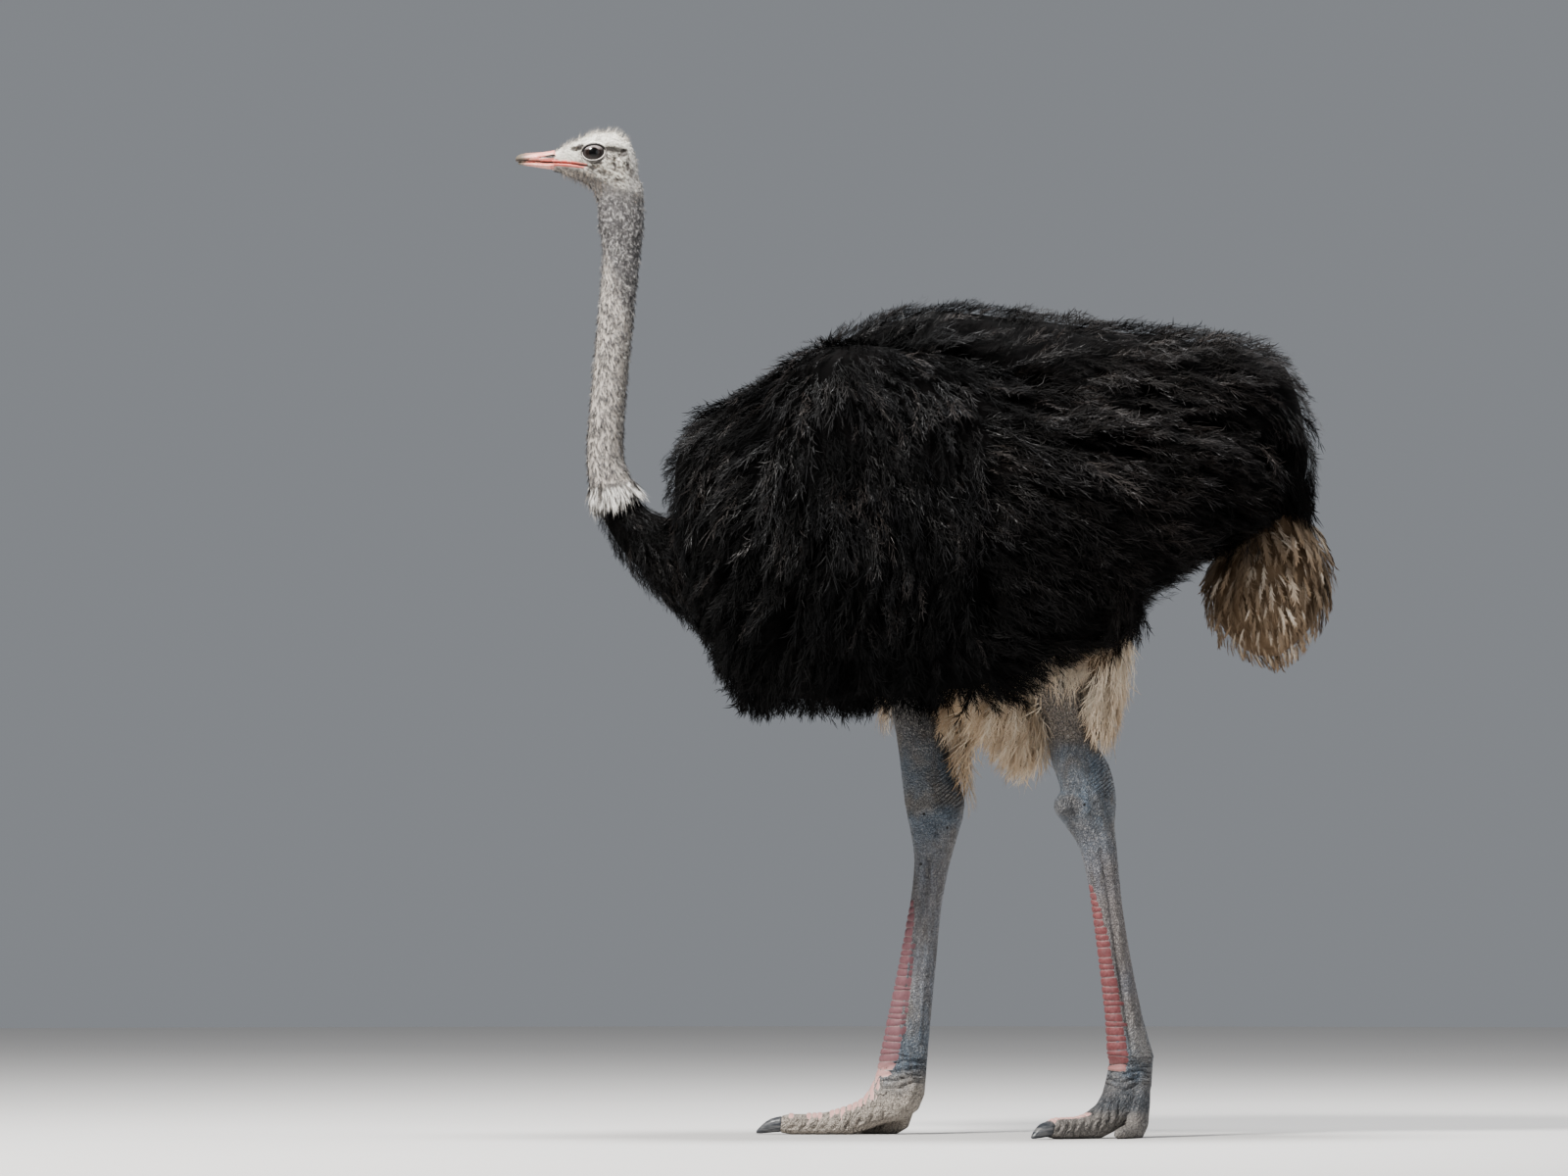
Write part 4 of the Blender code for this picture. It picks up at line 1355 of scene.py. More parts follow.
def buildScutes(side):
    draw = np.random.default_rng(5 if side == "left" else 6)
    bm = bmesh.new()
    uv = bm.loops.layers.uv.new("Plate")
    plan = scutePlan[side]
    top, foot = Vector(shinPlans[side]["top"]), Vector(shinPlans[side]["foot"])
    forward = Matrix.Rotation(math.radians(plan["turn"]), 3, "Z") @ headingOf(side)
    cuts = np.linspace(plan["from"], plan["to"], plan["plates"] + 1)
    cuts[1:-1] += draw.uniform(-0.007, 0.007, plan["plates"] - 1)
    tilts = draw.uniform(-0.014, 0.014, plan["plates"] + 1)
    for index in range(plan["plates"]):
        down = (index + 0.5) / plan["plates"]
        spread = np.interp(down, *zip(*scutePlan["spread"])) * draw.uniform(0.86, 1.12)

        def onShin(a, b, index=index, spread=spread):
            lean = a - 0.5
            high = cuts[index] + tilts[index] * lean
            low = cuts[index + 1] + tilts[index + 1] * lean
            share = (high + low) / 2 + (low - high) * (0.5 - b) * scutePlan["fill"]
            centre = top.lerp(foot, share)
            turn = Matrix.Rotation(math.radians(spread * (2 * a - 1)), 3, "Z")
            out = turn @ forward
            return castOn(centre + out * 0.12, -out)

        plate(bm, uv, onShin, scutePlan["thick"], scutePlan["crown"])
    toe = toePlan[side]
    along = headingOf(side)
    across = Vector((along.y, -along.x, 0))
    length = (toe["to"] - toe["from"]) / toe["plates"]
    for index in range(toe["plates"]):
        wide = toe["halfWidth"] * draw.uniform(0.8, 1.15)
        near = toe["from"] + length * (index + draw.uniform(-0.08, 0.08))

        def onToe(a, b, near=near, wide=wide):
            aside = across * (toe["aside"] + wide * (2 * a - 1))
            at = toeRoots[side] + along * (near + length * 0.90 * b) + aside
            return castOn(at + Vector((0, 0, 0.15)), Vector((0, 0, -1)))

        plate(bm, uv, onToe, scutePlan["thick"] * 0.6, scutePlan["crown"] * 1.4)
    bmesh.ops.recalc_face_normals(bm, faces=bm.faces)
    for v in bm.verts:
        v.co.z = max(v.co.z, 0.0)
    joined("scutes_" + side, bm, scuteMaterial, "foot_skin")


scuteMaterial = scuteFinish()
for side in sides:
    buildScutes(side)
print("scutes")


def blade(bm, start, reach, lean, width, bend=0.4, lift=0.0, parts=2):
    made = bmesh.ops.create_grid(bm, x_segments=parts, y_segments=1, size=0.5)["verts"]
    spots = {v: (v.co.x + 0.5, v.co.y) for v in made}
    for v in made:
        along, side = spots[v]
        middleLean = lean * (1 - bend * along / 2)
        endLean = lean * (1 - bend * along)
        half = width * side * (0.75 + along * 0.6)
        v.co.x = start[0] + reach * along * math.cos(middleLean) - half * math.sin(endLean)
        v.co.y = start[1] + reach * along * math.sin(middleLean) + half * math.cos(endLean)
        v.co.z = start[2] + lift * along**2
    tips = [v for v in made if spots[v][0] > 0.99]
    middlePoint = (tips[0].co + tips[1].co) / 2
    bmesh.ops.pointmerge(bm, verts=tips, merge_co=middlePoint)


def shapeArrays(bm):
    bm.verts.index_update()
    found = {
        "points": np.array([v.co for v in bm.verts]),
        "sizes": np.array([len(f.verts) for f in bm.faces]),
        "corners": np.array([v.index for f in bm.faces for v in f.verts]),
    }
    bm.free()
    return found


def plume(seed, barbs=10, lean=26, reach=0.255, width=0.0165, curl=0.11):  # a shaft and loose barbs
    draw = np.random.default_rng(seed)
    bm = bmesh.new()
    blade(bm, (0, 0, 0), 0.66, math.radians(draw.uniform(-8, 8)), 0.009, 0.4, 0.02, 3)
    hook = draw.uniform(-1.2, 1.2)
    for side in (-1, 1):
        for index in range(barbs):
            at = 0.02 + 0.80 * (index + draw.uniform(0.0, 1.0)) / barbs
            long = reach * draw.uniform(0.6, 1.3)
            tilt = math.radians(lean) * draw.uniform(0.1, 1.7) * side
            rise = curl * draw.uniform(-0.5, 1.3)
            bend = hook * side + draw.uniform(-1.2, 1.8)
            start = (at, draw.uniform(-0.05, 0.05), draw.uniform(-0.02, 0.04))
            blade(bm, start, long, tilt, width * draw.uniform(0.7, 1.3), bend, rise)
    return shapeArrays(bm)


def vaned(seed, barbs=18):  # a loose, soft vane
    draw = np.random.default_rng(seed)
    bm = bmesh.new()
    blade(bm, (0, 0, 0.006), 0.92, math.radians(draw.uniform(-3, 3)), 0.016, 0.4, 0.0, 3)
    for side in (-1, 1):
        for index in range(barbs):
            at = 0.06 + 0.80 * (index + draw.uniform(0.1, 0.9)) / barbs
            fullness = 0.7 + 0.3 * math.sin(math.pi * min(at * 1.1, 1.0))
            long = 0.23 * fullness * draw.uniform(0.75, 1.25)
            tilt = math.radians(38 - 8 * at) * draw.uniform(0.4, 1.3) * side
            bend, rise = draw.uniform(-0.6, 1.2), draw.uniform(-0.03, 0.05)
            blade(bm, (at, 0, 0), long, tilt, 0.034, bend, rise)
    return shapeArrays(bm)


def lock(seed, strands=9, fan=13, width=0.030, lift=0.10, wave=0.8):  # fine hairs from one root
    draw = np.random.default_rng(seed)
    bm = bmesh.new()
    for index in range(strands):
        tilt = math.radians(draw.uniform(-fan, fan))
        start = (draw.uniform(0, 0.12), draw.uniform(-0.05, 0.05), 0)
        long = draw.uniform(0.6, 1.0)
        thick = width * draw.uniform(0.6, 1.2)
        blade(bm, start, long, tilt, thick, draw.uniform(-wave, wave), draw.uniform(-lift, lift))
    return shapeArrays(bm)


shapes = {
    "plume": [plume(seed) for seed in range(11, 19)],
    "wispy": [plume(seed, 10, 20, 0.34, 0.010, 0.05) for seed in range(31, 37)],
    "vaned": [vaned(seed) for seed in range(21, 27)],
    "down": [lock(seed, fan=16, width=0.022, wave=1.2) for seed in range(41, 47)],
    "hair": [lock(seed, 3, 10, 0.016, 0.06) for seed in range(51, 55)],
    "streak": [lock(seed, 7, 8, 0.022, 0.05) for seed in range(56, 60)],
}


class Ground:  # the skin as triangles, each with the solid that it lies under
    def __init__(self):
        mesh = skin.data
        mesh.calc_loop_triangles()
        count = len(mesh.loop_triangles)
        corners = np.empty(count * 3, np.int32)
        loops = np.empty(count * 3, np.int32)
        parents = np.empty(count, np.int32)
        mesh.loop_triangles.foreach_get("vertices", corners)
        mesh.loop_triangles.foreach_get("loops", loops)
        mesh.loop_triangles.foreach_get("polygon_index", parents)
        uvs = np.empty(len(mesh.loops) * 2, np.float32)
        mesh.uv_layers["OFBake"].data.foreach_get("uv", uvs)
        self.points = pointsOf(mesh)[corners].reshape(-1, 3, 3)
        self.normals = normalsOf(mesh)[corners].reshape(-1, 3, 3)
        self.uvs = uvs.reshape(-1, 2)[loops].reshape(-1, 3, 2)
        kinds = np.empty(len(mesh.polygons), np.int32)
        mesh.polygons.foreach_get("material_index", kinds)
        self.kinds = kinds[parents]
        self.middles = self.points.mean(axis=1)
        a, b, c = self.points[:, 0], self.points[:, 1], self.points[:, 2]
        self.areas = np.linalg.norm(np.cross(b - a, c - a), axis=1) / 2
        self.names, points, faces, owners = [], [], [], []
        for name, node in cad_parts.items():
            base = len(points)
            points += [v.co.copy() for v in node.data.vertices]
            faces += [[base + i for i in p.vertices] for p in node.data.polygons]
            owners += [len(self.names)] * len(node.data.polygons)
            self.names.append(name)
        self.owners = np.empty(count, np.int32)
        self.solids = []
        for kind, group in enumerate([headNodes, legNodes, blackNodes, creamNodes]):
            held = [k for k, owner in enumerate(owners) if self.names[owner] in group]
            tree = BVHTree.FromPolygons(points, [faces[k] for k in held])
            self.solids.append(tree)
            for index in np.flatnonzero(self.kinds == kind):
                self.owners[index] = owners[held[tree.find_nearest(self.middles[index])[2]]]

    def outside(self, points, kind):  # how far each point stands out of the solids
        found = np.empty(len(points))
        for index, point in enumerate(points):
            at, normal, _, _ = self.solids[kind].find_nearest(point)
            away = Vector(point) - at
            found[index] = away.length if away.dot(normal) > 0 else -away.length
        return found

    def roots(self, plan, draw):
        wanted = [self.names.index(name) for name in plan["nodes"]]
        share = self.areas * np.isin(self.owners, wanted)
        if plan["hollows"]:
            share = share * (pocketed(self.middles) < 0.5)
        if "where" in plan:
            share = share * plan["where"](self.middles, self.normals.mean(axis=1))
        total = np.cumsum(share)
        count = plan["count"]
        pick = np.searchsorted(total, (np.arange(count) + draw.random(count)) / count * total[-1])
        pick = np.minimum(pick, len(share) - 1)
        a, b = draw.random((2, count))
        flip = a + b > 1
        a[flip], b[flip] = 1 - a[flip], 1 - b[flip]
        weights = np.stack([1 - a - b, a, b], axis=1)[:, :, None]
        place = (self.points[pick] * weights).sum(axis=1)
        normal = unit((self.normals[pick] * weights).sum(axis=1))
        return place, normal, (self.uvs[pick] * weights).sum(axis=1), self.kinds[pick[0]]


def across(vectors, normals):  # the part of each vector that lies along the skin
    return vectors - normals * (vectors * normals).sum(axis=1, keepdims=True)


def strands(plan, ground, draw):
    place, normal, uv, kind = ground.roots(plan, draw)
    count = len(place)
    flow = unit(plan["flow"](place, normal))
    into = (flow * normal).sum(axis=1, keepdims=True)
    flow = unit(flow - normal * np.where(into < 0, into, into * plan["hug"]))
    centres = draw.choice(count, max(2, count // plan["perClump"]), replace=False)
    hearts = KDTree(len(centres))
    for index, at in enumerate(place[centres]):
        hearts.insert(at, index)
    hearts.balance()
    clump = np.array([hearts.find(at)[1] for at in place])
    heart = place[centres][clump]
    spacing = math.sqrt(ground.covered / len(centres))
    flow = unit(flow * 0.5 + flow[centres][clump] * 0.5)
    turn = draw.normal(0, plan["turn"], len(centres))[clump] + draw.normal(0, plan["stray"], count)
    side = unit(np.cross(normal, flow))
    turn = np.radians(turn)[:, None]
    heading = unit(flow * np.cos(turn) + side * np.sin(turn))
    offset = across(heart - place, normal)
    near = np.clip(1 - np.linalg.norm(offset, axis=1) / spacing, 0, 1)
    lift = plan["lift"] + draw.normal(0, plan["liftSpread"], count) + plan["rise"] * (near - 0.4)
    lift = np.clip(np.radians(lift), math.radians(2), math.radians(80))[:, None]
    length = draw.uniform(*plan["length"], count) * draw.uniform(0.85, 1.12, len(centres))[clump]
    if "scale" in plan:
        length = length * plan["scale"](place)
    shine = np.ones(count)
    if plan["hollows"]:
        gap = lockGap(place, normal)
        length = length * (1 - 0.35 * gap)
        # painted shade: tufts in the furrows between locks, and in dark patches, get little shine, so
        # they stay dark and without gleams
        shine = (1 - gap) * step(waves(place, 0.10, 17) + waves(place, 0.035, 18) * 0.5, -1.0, 0.5)
    reach = heading * np.cos(lift) + normal * np.sin(lift) + offset / length[:, None] * plan["pull"]
    heading = unit(reach)
    droop = plan["droop"] * draw.uniform(0.6, 1.4, count)
    place = place + normal * (near * plan["bulge"])[:, None]
    slack = plan["over"] * draw.uniform(0.1, 1.0, count)
    if plan["hollows"]:  # some groups stand out further
        slack = slack + 0.013 * np.clip(waves(place, 0.055, 21), 0, 1)
    if "lobes" in plan:  # the lower edge hangs in lobes
        slack = slack + plan["lobes"] * hanging(place)
        length = length * (1 + 0.5 * hanging(place))
    if plan["over"]:
        length = length * roomFor(plan, ground, kind, place, normal, heading, length, droop, slack)
    return place, normal, uv, heading, length, droop, near, shine


roomShares = (0.32, 0.42, 0.55, 0.7, 0.85, 1.0)


def roomFor(plan, ground, kind, place, normal, heading, length, droop, slack):
    # the share of its length at which each tuft still lies within slack of the solids
    keep = np.full(len(place), plan.get("least", 0.24))
    beside = unit(np.cross(normal, heading)) * plan["broad"] * 0.2
    for share in roomShares:
        free = np.ones(len(place), bool)
        for reach in (heading, heading * 0.8 + beside, heading * 0.8 - beside):
            tip = place + (length * share)[:, None] * reach
            tip[:, 2] -= droop * length * share
            free &= ground.outside(tip, kind) < slack
            if plan["hollows"]:
                free &= pocketed(tip) < 0.5
        keep = np.where(free, share, keep)
    return keep


sideLimit = 0.342  # tufts that reach further out than this are laid flatter


def coat(name, plan, ground, finish):
    draw = np.random.default_rng(plan["seed"])
    wanted = [ground.names.index(node) for node in plan["nodes"]]
    ground.covered = (ground.areas * np.isin(ground.owners, wanted)).sum()
    place, normal, uv, heading, length, droop, near, shine = strands(plan, ground, draw)
    count = len(place)
    twist = np.radians(draw.normal(0, plan["twist"], count))[:, None]
    beside = unit(np.cross(normal, heading))
    above = np.cross(heading, beside)
    turned = above * np.cos(twist) - beside * np.sin(twist)
    beside = beside * np.cos(twist) + above * np.sin(twist)
    above = turned
    arch = plan["arch"] * draw.uniform(0.5, 1.5, count)
    broad = length * plan["broad"] * draw.uniform(0.8, 1.2, count)
    # paler towards each clump's heart and darker between clumps: painted light and shade on the clumps
    chance = draw.random(count) * 0.65 + near * 0.35
    # painted shade: in the black, tufts in the lock furrows lose their chance of gleaming
    if plan["hollows"]:
        chance = (0.2 + 0.8 * chance) * shine
    kinds = shapes[plan["shape"]]
    which = draw.integers(0, len(kinds), count)
    points, corners, sizes, patch, vane = [], [], [], [], []
    base = 0
    for index, shape in enumerate(kinds):
        rows = np.flatnonzero(which == index)
        x, y, z = shape["points"].T
        along = heading[rows][:, None] * x[None, :, None]
        bow = above[rows][:, None] * ((x - x * x)[None, :] * arch[rows][:, None])[:, :, None]
        fall = np.zeros((len(rows), len(x), 3))
        fall[:, :, 2] = -(x * np.abs(x))[None, :] * droop[rows][:, None]
        body = place[rows][:, None] + (along + bow + fall) * length[rows][:, None, None]
        spread = beside[rows][:, None] * y[None, :, None] + above[rows][:, None] * z[None, :, None]
        body = body + spread * broad[rows][:, None, None]
        wide = np.abs(body[:, :, 1])
        past = np.maximum(wide - sideLimit, 0)
        body[:, :, 1] = np.sign(body[:, :, 1]) * (wide - past * 0.65)
        points.append(body.reshape(-1, 3))
        starts = base + np.arange(len(rows)) * len(x)
        corners.append((starts[:, None] + shape["corners"][None]).ravel())
        sizes.append(np.tile(shape["sizes"], len(rows)))
        flat = shape["points"][shape["corners"]]
        patch.append((uv[rows][:, None] + (flat[:, :2] - (0.5, 0.0))[None] * 0.003).reshape(-1, 2))
        shaft = np.tile(np.clip(flat[:, 0], 0, 1), len(rows))
        vane.append(np.stack([np.repeat(chance[rows], len(flat)), shaft], axis=1))
        base += len(rows) * len(x)
    mesh = meshOf(name, np.concatenate(points), np.concatenate(corners), np.concatenate(sizes))
    for layer, values in (("OFBake", patch), ("Vane", vane)):
        corners = np.concatenate(values).astype(np.float32).ravel()
        mesh.uv_layers.new(name=layer).data.foreach_set("uv", corners)
    mesh.materials.append(finish)
    mesh.shade_smooth()
    placed(name, mesh, plan["slot"])
    print(name, count, "tufts", int((np.concatenate(sizes) - 2).sum()), "triangles")


def meshOf(name, points, corners, sizes):
    mesh = bpy.data.meshes.new(name)
    mesh.vertices.add(len(points))
    mesh.vertices.foreach_set("co", points.astype(np.float32).ravel())
    mesh.loops.add(len(corners))
    mesh.loops.foreach_set("vertex_index", corners.astype(np.int32))
    mesh.polygons.add(len(sizes))
    starts = np.concatenate([[0], np.cumsum(sizes)[:-1]]).astype(np.int32)
    mesh.polygons.foreach_set("loop_start", starts)
    mesh.update(calc_edges=True)
    return mesh


def towards(x, y, z):
    return lambda place, normal: np.tile((x, y, z), (len(place), 1)).astype(float)


def hanging(place):
    lobe = np.abs(np.sin((place[:, 0] + 0.02 * np.sin(place[:, 0] * 31.0)) * math.pi / 0.088))
    lobe = lobe + 2.0 * np.exp(-(((place[:, 0] - 0.112) / 0.034) ** 2))
    return lobe * (1 - step(place[:, 2], 0.86, 1.00))


def fromShoulder(place):
    centre = np.array([shoulder["x"], 0.0, shoulder["z"]])
    away = place - centre
    away[:, 1] *= 0.25
    return away


def wingFlow(place, normal):  # the coverts hang down, and lean onto the lock that they belong to
    away = fromShoulder(place)
    flow = away / 0.20 + (0.25, 0.0, -1.40)
    phase, around = lockPhase(place)
    lean = np.cos(phase) * np.sign(np.sin(phase)) * lockMask(place, normal) * 0.55
    inward = np.stack([np.cos(around), np.zeros(len(place)), np.sin(around)], axis=1)
    ontoLock = inward * lean[:, None]
    return unit(flow) + swirl(place) * 0.30 + ontoLock


def wingRearFlow(place, normal):
    return unit(unit(fromShoulder(place)) * 0.5 + np.array((0.7, 0.0, -0.22))) + swirl(place) * 0.3


def strandFlow(place, normal):  # loose plumes that hang from the wing's rear corner
    return np.array((0.10, 0.0, -1.0)) + swirl(place) * 0.25


def strandParts(middles, normals):
    x, _, z = middles.T
    return (x > 0.335) & (x < 0.410) & (z < 1.06) & (z > 0.96)


def fringeParts(middles, normals):  # the underside of the rump, over the tail's root
    return (middles[:, 0] > 0.575) & (middles[:, 2] < 1.275) & (normals[:, 2] < 0.35)


def hipParts(middles, normals):
    x, y, z = middles.T
    left = (y < 0) & (z > 0.880) & (normals[:, 1] < 0.1)
    right = (y > 0) & (x < -0.052) & (z > 0.82) & (z < 0.87)
    return left | right


def blended(first, second, share):
    return np.array(first) * (1 - share) + np.array(second) * share


def thighFlow(place, normal):  # the front group sweeps forward, the rear one less
    rear = step(place[:, 0], 0.24, 0.34)[:, None]
    return blended((-0.50, 0.0, -1.0), (-0.22, 0.0, -1.0), rear) + swirl(place) * 0.42


def backFlow(place, normal):
    return np.array((1.0, 0.0, 0.12)) + swirl(place) * 0.5


def swirl(place):
    return np.stack([waves(place, 0.24, seed) for seed in (7, 8, 9)], axis=1)


def rumpFlow(place, normal):
    far = step(place[:, 0], 0.50, 0.70)[:, None]
    return blended((1.0, 0.0, -0.1), (0.35, 0.0, -1.0), far) + swirl(place) * 0.35


def tailFlow(place, normal):
    low = step(-place[:, 2], -1.05, -0.93)
    spread = (place[:, 0] - 0.648) * (2.0 + 7.0 * low)
    return np.stack([0.15 + spread, place[:, 1] * 1.5, np.full(len(place), -1.0)], axis=1)


def baseFlow(place, normal):  # away from the collar
    return unit(place - collarAt) + (0.3, 0.0, -0.45)


def headFlow(place, normal):  # back from the bill, turning down the nape and the throat
    back = step(place[:, 0], -0.60, -0.545)[:, None]
    low = step(-place[:, 2], -1.80, -1.765)[:, None]
    down = np.maximum(back, low)
    cheek = step(-place[:, 2], -1.862, -1.835)[:, None] * (0.0, 0.0, -0.45)
    return (np.array((1.0, 0.0, -0.22)) + cheek) * (1 - down) + np.array((0.25, 0.0, -1.0)) * down


def standingFlow(place, normal):  # hairs of the crown and nape lean back and up
    top = step(place[:, 2], 1.82, 1.87)[:, None]
    return blended((0.35, 0.0, -0.8), (0.75, 0.0, 0.8), top)


def bareParts(middles, normals):  # round the eyes, the lips, the front of the face and the ears
    dx = (middles[:, 0] - eyeAt["left"].x) / 0.0258
    dz = (middles[:, 2] - eyeAt["left"].z) / 0.0204
    bare = (dx * dx + dz * dz < 1.0) & (np.abs(normals[:, 1]) > 0.35)
    mouth = np.abs(middles[:, 2] - (1.8360 + (middles[:, 0] + 0.70) * -0.08)) < 0.0062
    mouth &= middles[:, 0] < -0.632
    front = middles[:, 0] + np.abs(middles[:, 2] - 1.8365) * 1.1 < -0.686
    return ~(bare | mouth | front)


def hairParts(middles, normals):
    high = (middles[:, 2] > 1.868) | (middles[:, 0] > -0.548)
    high |= (middles[:, 0] < -0.640) & (normals[:, 2] > 0.55)
    chin = normals[:, 2] < -0.2
    return (high | chin) & (middles[:, 0] > -0.685) & bareParts(middles, normals)


blackBase = {
    "look": "black",
    "slot": "black_plumage",
    "length": (0.085, 0.125),
    "shape": "plume",
    "perClump": 20,
    "turn": 12,
    "stray": 11,
    "lift": 17,
    "liftSpread": 6,
    "rise": 16,
    "bulge": 0.006,
    "pull": 0.45,
    "droop": 0.12,
    "arch": 0.22,
    "twist": 14,
    "broad": 1.0,
    "over": 0.007,
    "hug": 0.85,
    "hollows": True,
}
creamBase = dict(
    blackBase, look="cream", slot="cream_plumage", shape="wispy", length=(0.12, 0.18), perClump=16,
    turn=9, stray=7, lift=12, rise=12, droop=0.06, over=0.014, hollows=False,
)
downBase = dict(
    blackBase, look="down", slot="head_down", shape="down", length=(0.010, 0.016), perClump=7,
    stray=14, liftSpread=8, rise=6, bulge=0.0, pull=0.2, droop=0.0, arch=0.15, twist=25, over=0.0,
    hug=0.9, hollows=False,
)


def grown(base, seed, nodes, count, flow, **own):
    return dict(base, seed=seed, nodes=nodes, count=count, flow=flow, **own)


def nearCollar(points):  # shorter towards the collar
    return 0.35 + 0.65 * step(np.linalg.norm(points - collarAt, axis=1), 0.03, 0.16)


def nearNape(points):
    return 1.0 - 0.45 * step(points[:, 0], -0.572, -0.552)


def collarParts(middles, normals):
    return middles[:, 2] - (middles[:, 0] + 0.59) * 0.15 < 1.236


coatPlans = {}
for number, side in enumerate(sides):
    coatPlans["coverts_" + side] = grown(
        blackBase, 60 + number, ["wing_" + side], 2880, wingFlow, lobes=0.022
    )
    coatPlans["wingPlumes_" + side] = grown(
        blackBase, 62 + number, ["wing_plumes_" + side], 1780, wingRearFlow,
        length=(0.10, 0.15), lobes=0.018,
    )
coatPlans["backPlumes"] = grown(
    blackBase, 64, ["trunk_front", "trunk_rear"], 2450, backFlow, lift=18, over=0.011
)
coatPlans["rumpPlumes"] = grown(
    blackBase, 65, ["rump_plumage"], 1250, rumpFlow, length=(0.09, 0.14), over=0.018
)
for number, side in enumerate(sides):
    coatPlans["strandPlumes_" + side] = grown(
        blackBase, 67 + number, ["wing_plumes_" + side], 110, strandFlow, where=strandParts,
        length=(0.07, 0.115), over=0.050, least=0.6, perClump=9, lift=8, rise=8, droop=0.3, broad=0.8,
    )
coatPlans["rumpFringe"] = grown(
    blackBase, 69, ["rump_plumage"], 300, towards(0.25, 0, -1), where=fringeParts,
    length=(0.075, 0.120), over=0.075, least=0.7, perClump=9, lift=6, rise=6, droop=0.25, broad=0.9,
)
coatPlans["neckBasePlumes"] = grown(
    blackBase, 66, ["neck_base"], 1400, baseFlow, scale=nearCollar, length=(0.05, 0.08), over=0.010,
    lift=12, rise=10, bulge=0.002, perClump=14,
)
coatPlans["tailDown"] = grown(
    creamBase, 70, ["tail"], 440, tailFlow, look="tail", length=(0.08, 0.13), lift=6, over=0.008
)
coatPlans["tailPlumes"] = grown(
    creamBase, 73, ["tail"], 600, tailFlow, look="tail", shape="vaned", length=(0.09, 0.15),
    perClump=6, lift=9, twist=22, turn=10, stray=10, broad=0.85, arch=0.2, pull=0.5, over=0.018,
    bulge=0.010,
)
thighNodes = ["flank_left_front", "flank_left_rear", "flank_right_rear"]
coatPlans["thighPlumes"] = grown(creamBase, 71, thighNodes, 1700, thighFlow, over=0.026)
coatPlans["hipPlumes"] = grown(
    creamBase, 74, ["shank_left", "shank_right"], 240, towards(-0.12, 0, -1), where=hipParts,
    length=(0.045, 0.085), over=0.050, least=0.5, rise=6, perClump=9, pull=0.3, broad=0.9,
)
coatPlans["neckDown"] = grown(downBase, 80, ["neck_upper", "neck_lower"], 5100, towards(0.1, 0, -1))
coatPlans["headDown"] = grown(
    downBase, 81, ["head"], 5200, headFlow, where=bareParts, length=(0.006, 0.010), lift=14
)
coatPlans["headHair"] = grown(
    downBase, 82, ["head"], 1150, standingFlow, look="hair", shape="hair", where=hairParts,
    length=(0.009, 0.021), scale=nearNape, lift=32, liftSpread=14, stray=18, pull=0.0, hug=0.2, rise=0,
)
coatPlans["collarHair"] = grown(
    downBase, 83, ["neck_lower"], 900, towards(0.25, 0, -1), look="collar", shape="streak",
    where=collarParts, length=(0.022, 0.040), lift=10, liftSpread=6, turn=8, stray=8, droop=0.1,
)
looks = {
    "black": plumageFinish("blackPlumage", blackTones, 0.42, 0.17),
    "cream": plumageFinish("creamPlumage", creamTones, 0.9, 0.08),
    "tail": plumageFinish("tailPlumage", tailTones, 0.95, 0.03),
    "down": downFinish("paleDown", downTones),
    "collar": downFinish("collarHair", collarTones),
    "hair": downFinish("paleHair", hairTones),
}
ground = Ground()
print("ground", len(ground.areas), "triangles")
for name, plan in coatPlans.items():
    coat(name, plan, ground, looks[plan["look"]])


stagePlan = {"radius": 10.0, "sides": 128}
cameraPlan = {"middle": (-0.2627, 0.0, 1.0342), "width": 2.96, "away": 40.0, "sensor": 36}


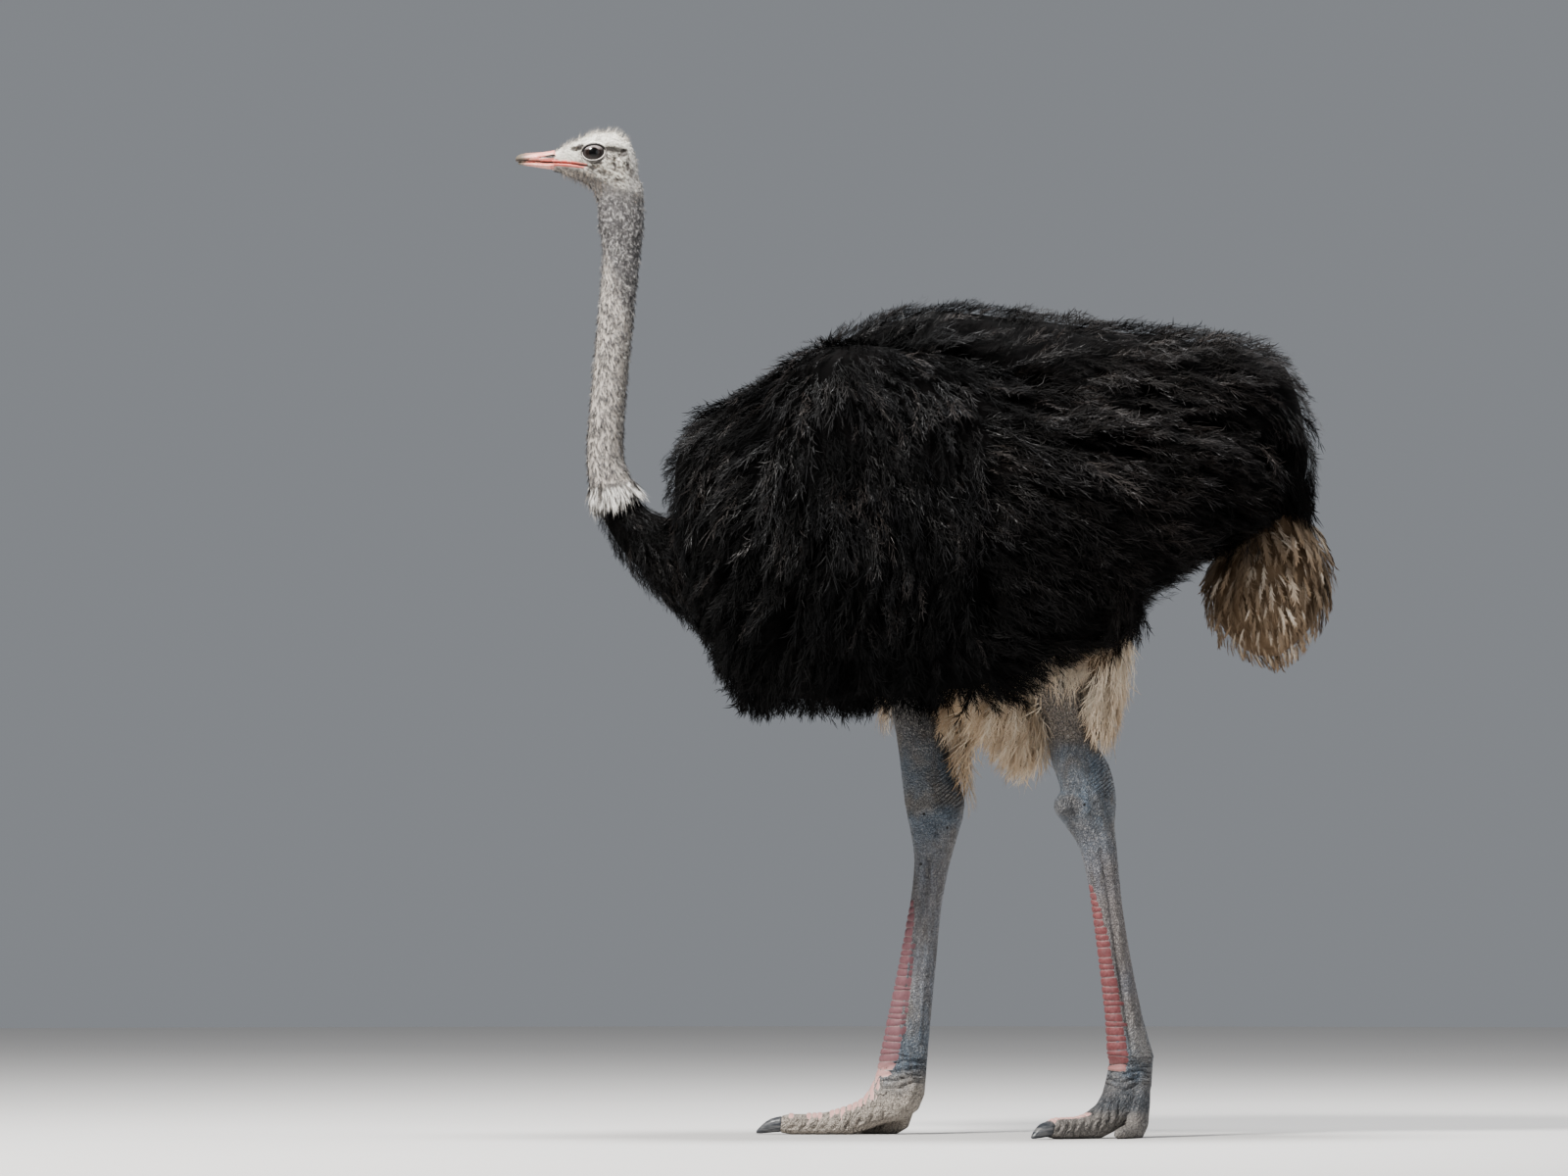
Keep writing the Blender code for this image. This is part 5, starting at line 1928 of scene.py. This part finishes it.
def buildStage():
    around, radius = stagePlan["sides"], stagePlan["radius"]
    bm = bmesh.new()
    bmesh.ops.create_circle(bm, cap_ends=True, segments=around, radius=radius)
    mesh = bpy.data.meshes.new("floor")
    bm.to_mesh(mesh)
    bm.free()
    f = Finish("paleFloor", 0.9)
    f.colour(f.mix(f.noise(f.place(), 0.6), (0.52, 0.51, 0.50), (0.56, 0.55, 0.54)))
    mesh.materials.append(f.material)
    floor = bpy.data.objects.new("floor", mesh)
    bpy.context.scene.collection.objects.link(floor)


def areaLight(name, place, aim, size, power, colour=(1, 1, 1)):
    light = bpy.data.lights.new(name, "AREA")
    light.shape = "DISK"
    light.size = size
    light.energy = power
    light.color = colour
    made = bpy.data.objects.new(name, light)
    made.location = place
    made.rotation_euler = (Vector(aim) - Vector(place)).to_track_quat("-Z", "Y").to_euler()
    bpy.context.scene.collection.objects.link(made)


def buildCamera():
    camera = bpy.data.cameras.new("camera")
    camera.sensor_width = cameraPlan["sensor"]
    camera.lens = cameraPlan["sensor"] * cameraPlan["away"] / cameraPlan["width"]
    camera.clip_start = 1.0
    camera.clip_end = 100.0
    made = bpy.data.objects.new("camera", camera)
    made.location = Vector(cameraPlan["middle"]) + Vector((0, -cameraPlan["away"], 0))
    made.rotation_euler = (math.radians(90), 0, 0)
    bpy.context.scene.collection.objects.link(made)
    bpy.context.scene.camera = made


buildStage()
areaLight("key", (-3.0, -3.4, 5.4), (0, 0, 1.1), 1.2, 760, (1.0, 0.98, 0.95))
areaLight("fill", (3.6, -4.6, 2.4), (0, 0, 1.0), 4.5, 60, (0.93, 0.96, 1.0))
areaLight("top", (0.3, 0.2, 5.6), (0, 0, 1.0), 1.8, 330)
areaLight("rim", (2.4, 2.9, 3.2), (0, 0, 1.2), 1.8, 70)
bpy.context.scene.view_settings.look = "AgX - Medium High Contrast"
world = bpy.data.worlds.new("studio")
world.use_nodes = True
world.node_tree.nodes["Background"].inputs["Color"].default_value = (0.86, 0.90, 0.96, 1)
world.node_tree.nodes["Background"].inputs["Strength"].default_value = 0.26
bpy.context.scene.world = world
buildCamera()
print("stage, lights and camera")
